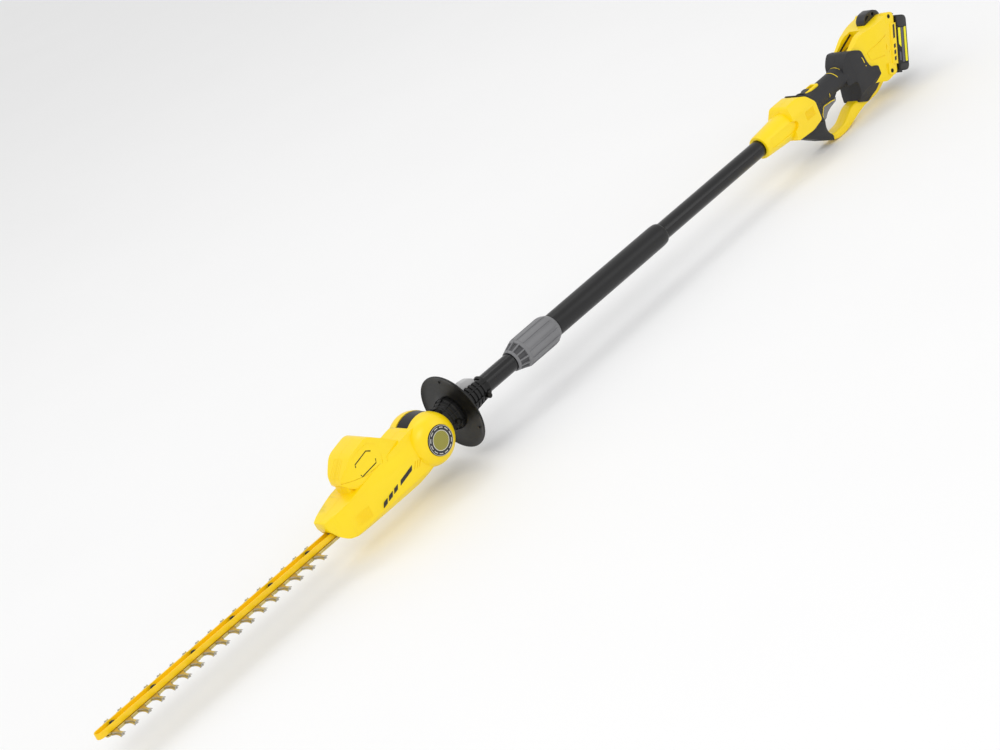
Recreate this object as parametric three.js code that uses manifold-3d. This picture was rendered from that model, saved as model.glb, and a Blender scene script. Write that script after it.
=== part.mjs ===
// Pole hedge trimmer: a pivoting cutting head, a two-section pole, a closed rear handle and a slide-on battery.
// Millimetres, +Z up. Inside the `tool` group X runs from the blade's tip (0) back to the battery, Y = 0 is the
// middle plane, and Z = 0 is the pole's axis. The group moves the origin to the middle of the box's lowest face.
import * as THREE from "three";
import { mergeVertices } from "three/addons/utils/BufferGeometryUtils.js";
import Module from "manifold-3d";

const wasm = await Module();
wasm.setup();

// Driving dimensions.
const CLEARANCE = 0.3; // between pieces that touch
const LONG = 4000; // longer than the whole tool, for cutting planes
const WALL = 2.6; // moulded shells
const TOOL = { length: 1948.6, lowest: -82 };
const BLADE = { teeth: 17, pitch: 24.4, firstTooth: 23, farShift: 11.6, halfWidth: 31.4, barHalf: 9.5 };
const BLADE_LAYER = { upper: [-28.25, -26.3], lower: [-30.5, -28.55], stagger: 1.2 };
const RAIL = { half: 7.5, wall: 2, bottom: -26, top: -17, back: 484 };
const BOLT = { count: 6, first: 30, pitch: 75.7, shank: 2.1, head: 4.4 };
const GEAR = { x: 520, teeth: 30, root: 18.2, tip: 21, eccentric: 6, disc: 8, shaft: 4.5 };
const PINION = { x: 545, teeth: 8, root: 3.6, tip: 6.3 };
const MOTOR = { radius: 17.5, bottom: 12.4, top: 58 };
const PIVOT = { x: 666, lobe: 42, knuckle: 41, slotHalf: 14.2, bolt: 5 };
const LOCK_PIN = { z: 20.5, radius: 2.2 };
const WIRE = { radius: 3.2, way: 5 };
const GUARD = { x: 736, radius: 63.2, thick: 3.4 };
const POLE = { radius: 15, bore: 13.4, join: 1110, sleeve: 19.6 };
const GRIP = { z: 5, radius: 18.3, core: 15.6, from: 1684, to: 1786 };
const LOOP_HALF = 12.5;
const REAR_HALF = 34;
const PACK = { x: 1904, z: -1, tilt: 24.5, thick: 29, half: 48, halfWidth: 37.5, split: 13.8 };
const CELL = { radius: 9, length: 65, pitch: 18.4, count: 5 };

const finishes = {
  yellow: [0xffdc12, 0.42, 0],
  rubber: [0x3a3a3c, 0.8, 0],
  black: [0x1d1d1f, 0.45, 0],
  tube: [0x202022, 0.3, 0.4],
  grey: [0x7d7d7f, 0.5, 0],
  steel: [0xb9b29a, 0.35, 0.9],
  bolt: [0x26262a, 0.4, 0.8],
  alloy: [0x9a9ca0, 0.5, 0.8],
  copper: [0xa5653a, 0.4, 0.8],
  cell: [0x2f6fae, 0.5, 0],
  badge: [0x8a8632, 0.4, 0],
  board: [0x1f5a33, 0.6, 0],
};

const tool = new THREE.Group();
tool.position.set(-TOOL.length / 2, 0, -TOOL.lowest);
const pack = new THREE.Group();
pack.position.set(PACK.x, 0, PACK.z);
pack.rotation.y = THREE.MathUtils.degToRad(PACK.tilt);
tool.add(pack);

// ---- Solids from three.js geometry ----

// A closed geometry as a solid that can be cut and joined, with its faces turned outwards.
function solid(geometry) {
  const bare = geometry.index ? geometry.toNonIndexed() : geometry.clone();
  bare.deleteAttribute("normal");
  bare.deleteAttribute("uv");
  const merged = mergeVertices(bare, 1e-4);
  const corners = [];
  for (let i = 0; i < merged.index.count; i += 3) {
    const [a, b, c] = [0, 1, 2].map((k) => merged.index.getX(i + k));
    if (a !== b && b !== c && c !== a) corners.push(a, b, c);
  }
  const vertProperties = new Float32Array(merged.attributes.position.array);
  const made = (triVerts) =>
    new wasm.Manifold(new wasm.Mesh({ numProp: 3, vertProperties, triVerts: new Uint32Array(triVerts) }));
  const body = made(corners);
  return body.volume() > 0 ? body : made(corners.reverse());
}

// Adds one named piece to a group.
function piece(name, body, finish, group = tool) {
  const mesh = body.getMesh();
  const geometry = new THREE.BufferGeometry();
  geometry.setAttribute("position", new THREE.BufferAttribute(mesh.vertProperties, 3));
  geometry.setIndex(new THREE.BufferAttribute(mesh.triVerts, 1));
  geometry.computeVertexNormals();
  const [color, roughness, metalness] = finishes[finish];
  const made = new THREE.Mesh(geometry, new THREE.MeshStandardMaterial({ color, roughness, metalness }));
  made.name = name;
  group.add(made);
}

const join = (...bodies) => bodies.reduce((sum, body) => sum.add(body));
const cut = (body, ...tools) => tools.reduce((rest, gone) => rest.subtract(gone), body);

function block([x0, x1], [y0, y1], [z0, z1]) {
  const box = new THREE.BoxGeometry(x1 - x0, y1 - y0, z1 - z0);
  return solid(box.translate((x0 + x1) / 2, (y0 + y1) / 2, (z0 + z1) / 2));
}

function extruded(points, depth, bevel) {
  const shape = new THREE.Shape(points.map(([u, v]) => new THREE.Vector2(u, v)));
  return new THREE.ExtrudeGeometry(shape, {
    depth: depth - 2 * bevel,
    steps: 1,
    curveSegments: 8,
    bevelEnabled: bevel > 0,
    bevelThickness: bevel,
    bevelSize: bevel,
    bevelOffset: -bevel,
    bevelSegments: 1,
  });
}

// An outline in the X-Z plane, with thickness along Y.
function sidePlate(points, [y0, y1], bevel = 0) {
  return solid(extruded(points, y1 - y0, bevel).rotateX(Math.PI / 2).translate(0, y1 - bevel, 0));
}

// An outline in the X-Y plane, with thickness along Z.
function flatPlate(points, [z0, z1], bevel = 0) {
  return solid(extruded(points, z1 - z0, bevel).translate(0, 0, z0 + bevel));
}

// A closed profile of [x, radius] turned about the pole's axis.
function turned(profile, sides = 24) {
  const points = profile.map(([x, r]) => new THREE.Vector2(r, x));
  const closed = profile[0][1] > 0 ? [...points, points[0]] : points;
  return solid(new THREE.LatheGeometry(closed, sides).rotateZ(-Math.PI / 2));
}

function tube([x0, x1], outer, inner, sides = 24) {
  return turned([[x0, inner], [x0, outer], [x1, outer], [x1, inner]], sides);
}

// A round bar along one axis; the centre is the middle of its length.
function bar(axis, [x, y, z], radius, length, sides = 16) {
  const geometry = new THREE.CylinderGeometry(radius, radius, length, sides);
  if (axis === "x") geometry.rotateZ(Math.PI / 2);
  if (axis === "z") geometry.rotateX(Math.PI / 2);
  return solid(geometry.translate(x, y, z));
}

// A profile of [y, radius] turned about an axis along Y through x, z.
function domed(profile, x, z, sides = 28) {
  const points = profile.map(([y, r]) => new THREE.Vector2(r, y));
  return solid(new THREE.LatheGeometry(points, sides).translate(x, 0, z));
}

// A spur gear's outline: each tooth is a trapezoid, narrower than its gap.
function gearOutline(cx, teeth, root, tip, turn = 0) {
  const points = [];
  for (let i = 0; i < teeth; i += 1) {
    const flanks = [[-0.2, root], [-0.09, tip], [0.09, tip], [0.2, root]];
    for (const [share, radius] of flanks) {
      const angle = ((i + share) / teeth) * 2 * Math.PI + turn;
      points.push([cx + radius * Math.cos(angle), radius * Math.sin(angle)]);
    }
  }
  return points;
}

const leftHalf = block([-LONG, LONG], [-LONG, -CLEARANCE / 2], [-LONG, LONG]);
const rightHalf = block([-LONG, LONG], [CLEARANCE / 2, LONG], [-LONG, LONG]);

// ---- Blade rail and its bolts ----

function railOutline(half) {
  const points = [];
  for (let i = 0; i <= 6; i += 1) {
    const angle = Math.PI / 2 + (i / 6) * Math.PI;
    points.push([RAIL.half + half * Math.cos(angle), half * Math.sin(angle)]);
  }
  return [...points, [RAIL.back, -half], [RAIL.back, half]];
}

const boltXs = Array.from({ length: BOLT.count }, (_, i) => BOLT.first + i * BOLT.pitch);

function bladeRail() {
  const channel = flatPlate(railOutline(RAIL.half - RAIL.wall), [RAIL.bottom + RAIL.wall, 0]);
  const openBack = block([RAIL.back - 1, RAIL.back + 1], [-5.5, 5.5], [RAIL.bottom + RAIL.wall, 0]);
  const holes = boltXs.map((x) => bar("z", [x, 0, RAIL.bottom], BOLT.shank + CLEARANCE, 10, 8));
  return cut(flatPlate(railOutline(RAIL.half), [RAIL.bottom, RAIL.top]), channel, openBack, ...holes);
}

function railBolt(x) {
  const head = bar("z", [x, 0, -21.9], BOLT.head, 3.6, 6);
  const shank = bar("z", [x, 0, -28], BOLT.shank, 10, 8);
  const nut = bar("z", [x, 0, -32.4], BOLT.head, 3.2, 6);
  return join(head, shank, nut);
}

piece("blade_rail", bladeRail(), "yellow");
boltXs.forEach((x, i) => piece(`rail_bolt_${i + 1}`, railBolt(x), "bolt"));

// ---- Blades: a bar with hooked teeth on both sides, bolt slots, and a yoke around its eccentric ----

function toothEdge(centre, side) {
  const waist = 22;
  const edge = [[-6.6, BLADE.barHalf], [-2.7, waist], [-3.2, BLADE.halfWidth], [3.2, BLADE.halfWidth],
    [2.7, waist], [6.6, BLADE.barHalf]];
  return edge.map(([dx, y]) => [centre + dx, side * y]);
}

function blade([z0, z1], stagger, eccentricSide) {
  const centres = Array.from({ length: BLADE.teeth }, (_, i) => BLADE.firstTooth + i * BLADE.pitch + stagger);
  const near = centres.flatMap((x) => toothEdge(x, -1));
  const far = centres.flatMap((x) => toothEdge(x + BLADE.farShift, 1));
  const start = centres[0] - 10;
  const outline = [[start, -6], ...near, [505, -BLADE.barHalf], [505, BLADE.barHalf], ...far.reverse(),
    [start, 6]];
  const body = flatPlate(outline, [z0, z1]);
  const yoke = block([GEAR.x - 16, GEAR.x + 16], [-21, 21], [z0, z1]);
  const slotHalf = BOLT.shank + CLEARANCE;
  const travel = GEAR.eccentric + 1.8;
  const reach = travel + slotHalf;
  const slots = boltXs.map((x) =>
    block([x + stagger - reach, x + stagger + reach], [-slotHalf, slotHalf], [-40, 0]));
  const low = -GEAR.eccentric - GEAR.disc - 1;
  const high = GEAR.disc + 1;
  const window = [GEAR.x - GEAR.disc - 1.8, GEAR.x + GEAR.disc + 1.8];
  const yokeSlot = block(window, eccentricSide < 0 ? [low, high] : [-high, -low], [-40, 0]);
  return cut(join(body, yoke), yokeSlot, ...slots);
}

piece("upper_blade", blade(BLADE_LAYER.upper, BLADE_LAYER.stagger, -1), "steel");
piece("lower_blade", blade(BLADE_LAYER.lower, -BLADE_LAYER.stagger, 1), "steel");

// ---- Gear train ----

function driveGear() {
  const wheel = flatPlate(gearOutline(GEAR.x, GEAR.teeth, GEAR.root, GEAR.tip), [-3, 4]);
  const shaft = bar("z", [GEAR.x, 0, -10.1], GEAR.shaft, 31.8, 12);
  const upper = bar("z", [GEAR.x, -GEAR.eccentric, -27.2], GEAR.disc, 2.4, 16);
  const lower = bar("z", [GEAR.x, GEAR.eccentric, -29.6], GEAR.disc, 2.4, 16);
  return join(wheel, shaft, upper, lower);
}

function motorPinion() {
  const turn = Math.PI + Math.PI / PINION.teeth;
  const wheel = flatPlate(gearOutline(PINION.x, PINION.teeth, PINION.root, PINION.tip, turn), [-4, 5]);
  return join(wheel, bar("z", [PINION.x, 0, 12], 2, 34, 8));
}

const caseOutline = [[488, -14], [499, -22], [508, -24.6], [552, -25], [562, -16], [562, 16], [552, 25],
  [508, 24.6], [499, 22], [488, 14]];

function gearCase() {
  const body = flatPlate(caseOutline, [-25.6, 6]);
  const tongue = block([454, 490], [-5, 5], [-23.6, -18.4]);
  const gearRoom = bar("z", [GEAR.x, 0, 3.5], GEAR.tip + 1.2, 17, 28);
  const pinionRoom = bar("z", [PINION.x, 0, 3.5], PINION.tip + 1.2, 17, 16);
  const bearing = bar("z", [GEAR.x, 0, -20], GEAR.shaft + CLEARANCE, 40, 12);
  return cut(join(body, tongue), gearRoom, pinionRoom, bearing);
}

function gearCaseCover() {
  const shaftHole = bar("z", [PINION.x, 0, 8], 2.4, 10, 12);
  const bearingHole = bar("z", [GEAR.x, 0, 6], GEAR.shaft + CLEARANCE, 10, 12);
  return cut(flatPlate(caseOutline, [6.3, 8.8]), shaftHole, bearingHole);
}

function motor() {
  const { radius, bottom, top } = MOTOR;
  const can = bar("z", [PINION.x, 0, (bottom + top) / 2], radius, top - bottom, 20);
  const nose = bar("z", [PINION.x, 0, 11], 7, 3.4, 12);
  return cut(join(can, nose), bar("z", [PINION.x, 0, 18], 2.3, 30, 12));
}

piece("drive_gear", driveGear(), "alloy");
piece("motor_pinion", motorPinion(), "alloy");
piece("gear_case", gearCase(), "alloy");
piece("gear_case_cover", gearCaseCover(), "alloy");
piece("motor", motor(), "copper");
piece("bottom_plate", flatPlate([[472, -11], [486, -11], [499, -22], [552, -24], [562, -14], [562, 14],
  [552, 24], [499, 22], [486, 11], [472, 11]], [-35.2, -33.2]), "alloy");

// ---- Head shells: belly and shoulder, motor pod above, and a clevis lobe each side of the pivot ----

const headSide = [[446, 3], [448, -8], [456, -24], [468, -37], [484, -42], [560, -44], [612, -44], [640, -38],
  [662, -20], [668, 0], [664, 20], [650, 34], [640, 36], [600, 31], [560, 26], [500, 15], [470, 9]];
const headPlan = [[444, -12], [462, -19], [490, -25], [530, -29.5], [580, -30.5], [700, -30.5],
  [700, 30.5], [580, 30.5], [530, 29.5], [490, 25], [462, 19], [444, 12]];
const podSide = [[497, 8], [501, 30], [503, 38], [528, 66], [566, 74], [616, 30], [616, 10]];

function headShell() {
  const belly = sidePlate(headSide, [-31, 31], 6).intersect(flatPlate(headPlan, [-60, 60]));
  const pod = sidePlate(podSide, [-24.5, 24.5], 6);
  const lobeProfile = [[-45, 0], [-45, 23], [-38, 35], [-30, 40], [-20, PIVOT.lobe], [20, PIVOT.lobe],
    [30, 40], [38, 35], [45, 23], [45, 0]];
  const lobes = domed(lobeProfile, PIVOT.x, 0, 32);
  const outside = join(belly, pod, lobes);
  const room = flatPlate([[485, -17], [498, -23.6], [512, -25.8], [530, -26.9], [612, -27.4],
    [612, 27.4], [530, 26.9], [512, 25.8], [498, 23.6], [485, 17]], [-39, 12]);
  const motorRoom = bar("z", [PINION.x, 0, 34], MOTOR.radius + 0.8, 52, 24);
  const podRoom = sidePlate([[515, 8], [515, 40], [532, 60], [562, 66], [600, 36], [600, 8]], [-21, 21]);
  const bladeMouth = block([440, 490], [-12, 12], [-35.4, -15.5]);
  const knuckleRoom = bar("y", [PIVOT.x, 0, 0], PIVOT.knuckle + 1.6, 2 * PIVOT.slotHalf, 32);
  const slot = block([PIVOT.x, 760], [-PIVOT.slotHalf, PIVOT.slotHalf], [-70, 70]);
  const boltHole = bar("y", [PIVOT.x, 0, 0], PIVOT.bolt + CLEARANCE, 78, 16);
  const badgeSeats = [-1, 1].map((side) => bar("y", [PIVOT.x, side * 44.3, 0], 21.9, 5, 24));
  return cut(outside, room, motorRoom, podRoom, bladeMouth, knuckleRoom, slot, boltHole, ...badgeSeats);
}

const head = headShell();
piece("head_shell_left", head.intersect(leftHalf), "yellow");
piece("head_shell_right", head.intersect(rightHalf), "yellow");
for (const [name, side] of [["left", -1], ["right", 1]])
  piece(`hub_badge_${name}`, bar("y", [PIVOT.x, side * 44, 0], 21.5, 3.4, 24), "badge");

// ---- Knuckle, neck, guard and coupler: the fixed side of the head's pivot ----

const lockPinHole = () => bar("x", [710, 0, LOCK_PIN.z], LOCK_PIN.radius + 0.4, 110, 10);

function pivotKnuckle() {
  const disc = bar("y", [PIVOT.x, 0, 0], PIVOT.knuckle, 2 * (PIVOT.slotHalf - 0.5), 36);
  const neck = turned([[706, 0], [709.5, 22], [716, 22], [717, 24], [722, 24], [723, 26], [728, 26], [729, 27.5],
    [735.4, 27.5], [735.4, 0]], 20);
  const wireWay = bar("x", [730, 0, 0], WIRE.way, 90, 10);
  const arm = block([690, 712], [0.5 - PIVOT.slotHalf, PIVOT.slotHalf - 0.5], [-22, 22]);
  const boltHole = bar("y", [PIVOT.x, 0, 0], PIVOT.bolt + CLEARANCE, 60, 16);
  return cut(join(disc, neck, arm), wireWay, boltHole, lockPinHole());
}

function guardDisc() {
  const front = GUARD.x;
  const back = front + GUARD.thick;
  const rim = GUARD.radius;
  const disc = turned([[front, 0], [front, 24], [front + 1.5, 56], [front - 1, rim], [back - 1, rim],
    [back + 1, 56], [back, 24], [back, 0]], 40);
  return cut(disc, bar("x", [front, 0, 0], WIRE.way, 20, 10), lockPinHole());
}

function coupler() {
  const body = turned([[740, 0], [740, 23], [772, 22.6], [790, 20.5], [806, 18.6], [806, 0]], 24);
  const bore = bar("x", [800, 0, 0], POLE.radius + CLEARANCE, 60, 24);
  const wireWay = bar("x", [760, 0, 0], WIRE.way, 60, 10);
  const sliderRoom = block([750, 796], [-6.4, 6.4], [17, 30]);
  return cut(body, bore, wireWay, sliderRoom, lockPinHole());
}

const couplerBody = coupler();
piece("pivot_knuckle", pivotKnuckle(), "black");
piece("pivot_bolt", bar("y", [PIVOT.x, 0, 0], PIVOT.bolt, 76, 16), "bolt");
piece("guard_disc", guardDisc(), "black");
piece("coupler_left", couplerBody.intersect(leftHalf), "black");
piece("coupler_right", couplerBody.intersect(rightHalf), "black");

// The slider on the coupler pulls back a pin that locks the knuckle's index holes.
const sliderSide = [[755, 17.4], [755, 29], [779, 29], [786, 25], [786, 17.4]];
piece("pivot_release_slider", sidePlate(sliderSide, [-6, 6], 1), "grey");
piece("pivot_lock_pin", bar("x", [733, 0, LOCK_PIN.z], LOCK_PIN.radius, 43, 10), "bolt");

// ---- Pole ----

piece("front_tube", tube([771, POLE.join - 1], POLE.radius, POLE.bore), "tube");
piece("rear_tube", tube([POLE.join + 1, 1600], POLE.radius, POLE.bore), "tube");

function collet() {
  const ring = tube([886.6, 972], 18.6, POLE.radius + CLEARANCE, 24);
  const splits = [0, 1, 2].map((i) => solid(new THREE.BoxGeometry(56, 60, 1.6)
    .rotateX((i * Math.PI) / 3).translate(900, 0, 0)));
  return cut(ring, ...splits);
}

function collarNut() {
  const shell = turned([[873, POLE.radius + 0.8], [873, 17], [891, 24], [897, 25], [962, 25], [972, 20.6],
    [972, 18.9], [886, 18.9]], 30);
  const windows = Array.from({ length: 10 }, (_, i) => solid(new THREE.BoxGeometry(9, 7, 8)
    .translate(881.5, 0, 21.5).rotateX((i / 10) * 2 * Math.PI)));
  return cut(shell, ...windows);
}

function poleSleeve() {
  const bore = POLE.radius + CLEARANCE;
  return turned([[972.6, bore], [972.6, POLE.sleeve - 0.6], [974, POLE.sleeve], [1246, POLE.sleeve], [1254, 17],
    [1254, bore]], 28);
}

piece("collet", collet(), "black");
piece("collar_nut", collarNut(), "grey");
piece("pole_sleeve", poleSleeve(), "rubber");

// The wires run inside the tubes, and their plug and socket meet where the tubes do.
const wireHole = (x, length) => bar("x", [x, 0, 0], WIRE.radius + CLEARANCE, length, 8);
const plugBody = (x, length) => bar("x", [x, 0, 0], POLE.bore - 0.8, length, 16);
piece("front_wire", bar("x", [930, 0, 0], WIRE.radius, 300, 8), "black");
piece("rear_wire", bar("x", [1388, 0, 0], WIRE.radius, 500, 8), "black");
piece("connector_plug", cut(plugBody(1094, 26), wireHole(1085, 40), bar("x", [1106, 0, 0], 9, 12, 12)), "black");
piece("connector_socket", cut(plugBody(1125, 24), wireHole(1134, 20)), "black");

// ---- Handle shells: nose, hand block, grip core, closed loop and rear housing, split down the middle ----

const blockSide = [[1596, -25], [1600, 22], [1608, 35], [1642, 35], [1658, 28], [1668, 14], [1668, -24],
  [1640, -27]];
const loopOuter = [[1606, -20], [1674, -67], [1697, -80], [1706, -82], [1734, -82], [1793, -66], [1843, -65],
  [1868, -54]];
const loopInner = [[1880, -30], [1880, 0], [1812, 0], [1810, -44], [1784, -49], [1764, -50], [1734, -66],
  [1703, -68], [1688, -64], [1682, -56], [1681, -44], [1686, -34], [1676, -12], [1640, -10]];
const rearSide = [[1776, -8], [1776, 34], [1784, 43], [1806, 41], [1834, 50], [1862, 51], [1896, 52],
  [1908, 55], [1921, 51], [1877, -45], [1852, -54], [1812, -48], [1812, -8]];
const rearPlan = [[1770, -20], [1851, -20], [1856, -30], [1868, -REAR_HALF], [1960, -REAR_HALF],
  [1960, REAR_HALF], [1868, REAR_HALF], [1856, 30], [1851, 20], [1770, 20]];
const triggerPivot = [1675, 0, -7];

function handleShell() {
  const nose = turned([[1530, 0], [1530, 21], [1590, 25.4], [1606, 26], [1606, 0]], 28);
  const hand = sidePlate(blockSide, [-27.5, 27.5], 7);
  const core = bar("x", [1724, 0, GRIP.z], GRIP.core, 124, 24);
  const loop = sidePlate([...loopOuter, ...loopInner], [-LOOP_HALF, LOOP_HALF], 3);
  const rear = sidePlate(rearSide, [-40, 40]).intersect(flatPlate(rearPlan, [-90, 90]));
  const outside = join(nose, hand, core, loop, rear);
  const tubeBore = bar("x", [1566, 0, 0], POLE.radius + CLEARANCE, 84, 24);
  const handRoom = block([1605, 1662], [-23, 23], [-20, 26]);
  const gripBore = bar("x", [1724, 0, GRIP.z], GRIP.core - WALL, 160, 20);
  const triggerRoom = block([1667, 1743.5], [-8.6, 8.6], [-42, 1.5]);
  const pinHole = bar("y", triggerPivot, 2, 22, 10);
  const lockRoom = block([1673, 1701], [-5.6, 5.6], [8, 30]);
  const middleRoom = block([1800, 1857], [-17, 17], [-40, 22]);
  const rearRoom = block([1857, 1866], [-26, 26], [-34, 40]);
  const topPocket = block([1808, 1850], [-9, 14], [26, 60]);
  return cut(outside, tubeBore, handRoom, gripBore, triggerRoom, pinHole, lockRoom, middleRoom, rearRoom,
    topPocket, ...shoeSeat());
}

// The battery shoe's seat in the tilted rear face, in the tool's own axes.
function shoeSeat() {
  const seat = new THREE.BoxGeometry(7.6, 49, 77).translate(-2.8, 0, 0);
  const wireWay = new THREE.BoxGeometry(44, 20, 14).translate(-26, 0, 0);
  return [seat, wireWay].map((room) => solid(room.applyMatrix4(packMatrix())));
}

function packMatrix() {
  return new THREE.Matrix4().makeRotationY(pack.rotation.y).setPosition(PACK.x, 0, PACK.z);
}

const handle = handleShell();
piece("handle_shell_left", handle.intersect(leftHalf), "yellow");
piece("handle_shell_right", handle.intersect(rightHalf), "yellow");

// ---- Rubber over the handle ----

function gripRubber() {
  const sleeve = turned([[1668.6, GRIP.core + CLEARANCE], [1668.6, 20.5], [1690, GRIP.radius], [1760, GRIP.radius],
    [1775.6, 19.6], [1775.6, GRIP.core + CLEARANCE]], 28).translate([0, 0, GRIP.z]);
  const triggerRoom = block([1660, 1743.5], [-9, 9], [-42, 1]);
  const bezelRoom = block([1660, 1711.6], [-8.6, 8.6], [17, 40]);
  const loopRoom = block([1660, 1690], [-13.2, 13.2], [-42, -4]);
  return cut(sleeve, triggerRoom, bezelRoom, loopRoom);
}

const legSide = [[1612, -27.6], [1676, -66.5], [1691, -74.5], [1693, -67.5], [1681.5, -58], [1680, -44],
  [1684, -35], [1678, -27.6]];
const bellSide = [[1778, -7], [1778, 34], [1786, 41], [1806, 35], [1822, 27], [1829, 6], [1834, -8], [1848, -16],
  [1849, -48], [1812, -47], [1813, -7]];

piece("grip_rubber", gripRubber(), "rubber");
for (const [name, side] of [["left", -1], ["right", 1]]) {
  const across = (near, far) => [side * near, side * far].sort((a, b) => a - b);
  piece(`leg_rubber_${name}`, sidePlate(legSide, across(12.8, 16.4), 1), "rubber");
  piece(`bell_rubber_${name}`, sidePlate(bellSide, across(20.3, 27), 2), "rubber");
}

// ---- Trigger, lock-off slider and what they work ----

const triggerSide = [[1670, -2], [1670, -12], [1679, -20], [1688, -33], [1690, -38], [1698, -38], [1709, -30],
  [1724, -26], [1738, -24], [1741, -18], [1738, -13.5], [1720, -11], [1700, -9.5], [1684, -2]];
const trigger = cut(sidePlate(triggerSide, [-8, 8], 1.2), bar("y", triggerPivot, 1.9, 30, 10));
piece("trigger", trigger, "grey");
piece("trigger_pin", bar("y", triggerPivot, 1.6, 21, 10), "bolt");
piece("trigger_spring", turned([[0, 1.8], [0, 3], [13, 3], [13, 1.8]], 10)
  .rotate([0, -90, 0]).translate([1730, 0, -11.4]), "bolt");
piece("switch_module", block([1692, 1722], [-7, 7], [3, 14]), "black");

function lockBezel() {
  return cut(block([1670, 1711], [-8.2, 8.2], [21, 25.6]), block([1674.5, 1704.5], [-5.4, 5.4], [0, 40]));
}

const lockSide = [[1675, 15], [1675, 26], [1678, 28], [1688, 28], [1690, 26], [1690, 15]];
piece("lock_bezel", lockBezel(), "yellow");
piece("lock_off_slider", sidePlate(lockSide, [-5, 5], 0.8), "grey");
piece("control_board", block([1806, 1856], [-15, 15], [-14, -12.4]), "board");

const strapSide = [[1872, 52.2], [1876, 62], [1888, 68], [1900, 68], [1914, 62], [1918, 52.4], [1908, 55.4],
  [1896, 52.4]];
piece("strap_eye", cut(sidePlate(strapSide, [-9, 9], 1.5), bar("y", [1901, 0, 60.5], 3.4, 40, 12)), "grey");

// ---- Battery, in axes that lean with the handle's rear face: x out of the face, z up along it ----

function batteryShoe() {
  const plate = block([-6.2, -CLEARANCE], [-24, 24], [-38, 38]);
  const stem = block([-1, 2.2], [-16, 16], [-38, 36]);
  const rails = block([2.1, 4], [-20, 20], [-38, 36]);
  return join(plate, stem, rails);
}

const packSide = [[0.4, -PACK.half], [0.4, PACK.half], [25, PACK.half], [PACK.thick, PACK.half - 4],
  [PACK.thick, 4 - PACK.half], [25, -PACK.half]];

function batteryCase() {
  const outside = sidePlate(packSide, [-PACK.halfWidth, PACK.halfWidth], 3);
  const room = block([6.4, 26.4], [-34.9, 34.9], [-46.4, 46.4]);
  const stemSlot = block([-1, 3], [-16.4, 16.4], [-60, 38]);
  const railSlot = block([1.8, 4.4], [-20.4, 20.4], [-60, 38]);
  const buttonRoom = block([7.7, 22.3], [-13.4, 13.4], [40, 60]);
  return cut(outside, room, stemSlot, railSlot, buttonRoom);
}

const packCase = batteryCase();
const caseSlice = (x0, x1) => packCase.intersect(block([x0, x1], [-60, 60], [-70, 70]));
piece("battery_shoe", batteryShoe(), "black", pack);
piece("battery_case_front", caseSlice(-9, PACK.split), "black", pack);
piece("battery_case_back", caseSlice(PACK.split + CLEARANCE, 60), "black", pack);
piece("battery_release_button", block([8, 22], [-13, 13], [48, 54.5]), "grey", pack);
for (let i = 0; i < CELL.count; i += 1) {
  const z = (i - (CELL.count - 1) / 2) * CELL.pitch;
  piece(`battery_cell_${i + 1}`, bar("y", [15.9, 0, z], CELL.radius, CELL.length, 16), "cell", pack);
}

export default tool;
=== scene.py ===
import bmesh
import bpy
import math
from mathutils import Matrix, Vector


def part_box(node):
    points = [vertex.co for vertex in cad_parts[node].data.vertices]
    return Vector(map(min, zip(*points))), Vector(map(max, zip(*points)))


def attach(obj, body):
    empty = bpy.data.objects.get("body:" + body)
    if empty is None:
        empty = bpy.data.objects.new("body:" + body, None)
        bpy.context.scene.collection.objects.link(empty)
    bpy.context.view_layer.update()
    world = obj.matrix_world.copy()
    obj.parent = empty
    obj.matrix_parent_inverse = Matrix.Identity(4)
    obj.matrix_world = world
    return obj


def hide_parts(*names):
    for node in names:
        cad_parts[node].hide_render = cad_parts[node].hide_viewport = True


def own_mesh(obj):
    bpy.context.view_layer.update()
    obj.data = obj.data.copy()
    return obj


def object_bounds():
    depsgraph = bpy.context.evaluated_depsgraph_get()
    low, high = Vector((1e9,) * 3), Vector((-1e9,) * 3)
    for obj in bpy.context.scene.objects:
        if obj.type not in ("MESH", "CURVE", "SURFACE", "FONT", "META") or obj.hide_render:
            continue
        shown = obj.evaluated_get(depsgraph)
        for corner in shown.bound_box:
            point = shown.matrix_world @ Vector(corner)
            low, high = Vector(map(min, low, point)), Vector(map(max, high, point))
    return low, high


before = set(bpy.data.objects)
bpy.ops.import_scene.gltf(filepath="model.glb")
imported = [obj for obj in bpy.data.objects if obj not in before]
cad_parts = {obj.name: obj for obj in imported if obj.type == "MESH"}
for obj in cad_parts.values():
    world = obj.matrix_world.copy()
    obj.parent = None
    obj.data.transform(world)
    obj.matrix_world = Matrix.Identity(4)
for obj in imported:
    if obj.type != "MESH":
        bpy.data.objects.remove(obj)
cad_box = [list(corner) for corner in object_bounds()]

# ---- Studio: camera, floor and light ----
# The tool stands on its handle's loop on a white sweep, lit from above by large soft boxes, and is
# seen from beside the blade's tip so that the pole runs away to the upper right.
EYE = (-1.9067, -2.5267, 1.3583)
HEADING, DIP, ROLL = math.radians(35.11), math.radians(22.53), math.radians(25.66)
camera = bpy.data.objects.new("camera", bpy.data.cameras.new("camera"))
camera.data.lens = 78.86
camera.data.sensor_width = 36
camera.data.clip_end = 100
looking = Matrix.Rotation(-HEADING, 4, "Z") @ Matrix.Rotation(math.pi / 2 - DIP, 4, "X")
camera.matrix_world = Matrix.Translation(EYE) @ looking @ Matrix.Rotation(-ROLL, 4, "Z")
bpy.context.collection.objects.link(camera)
scene = bpy.context.scene
scene.camera = camera
scene.view_settings.view_transform = "Standard"

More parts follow.
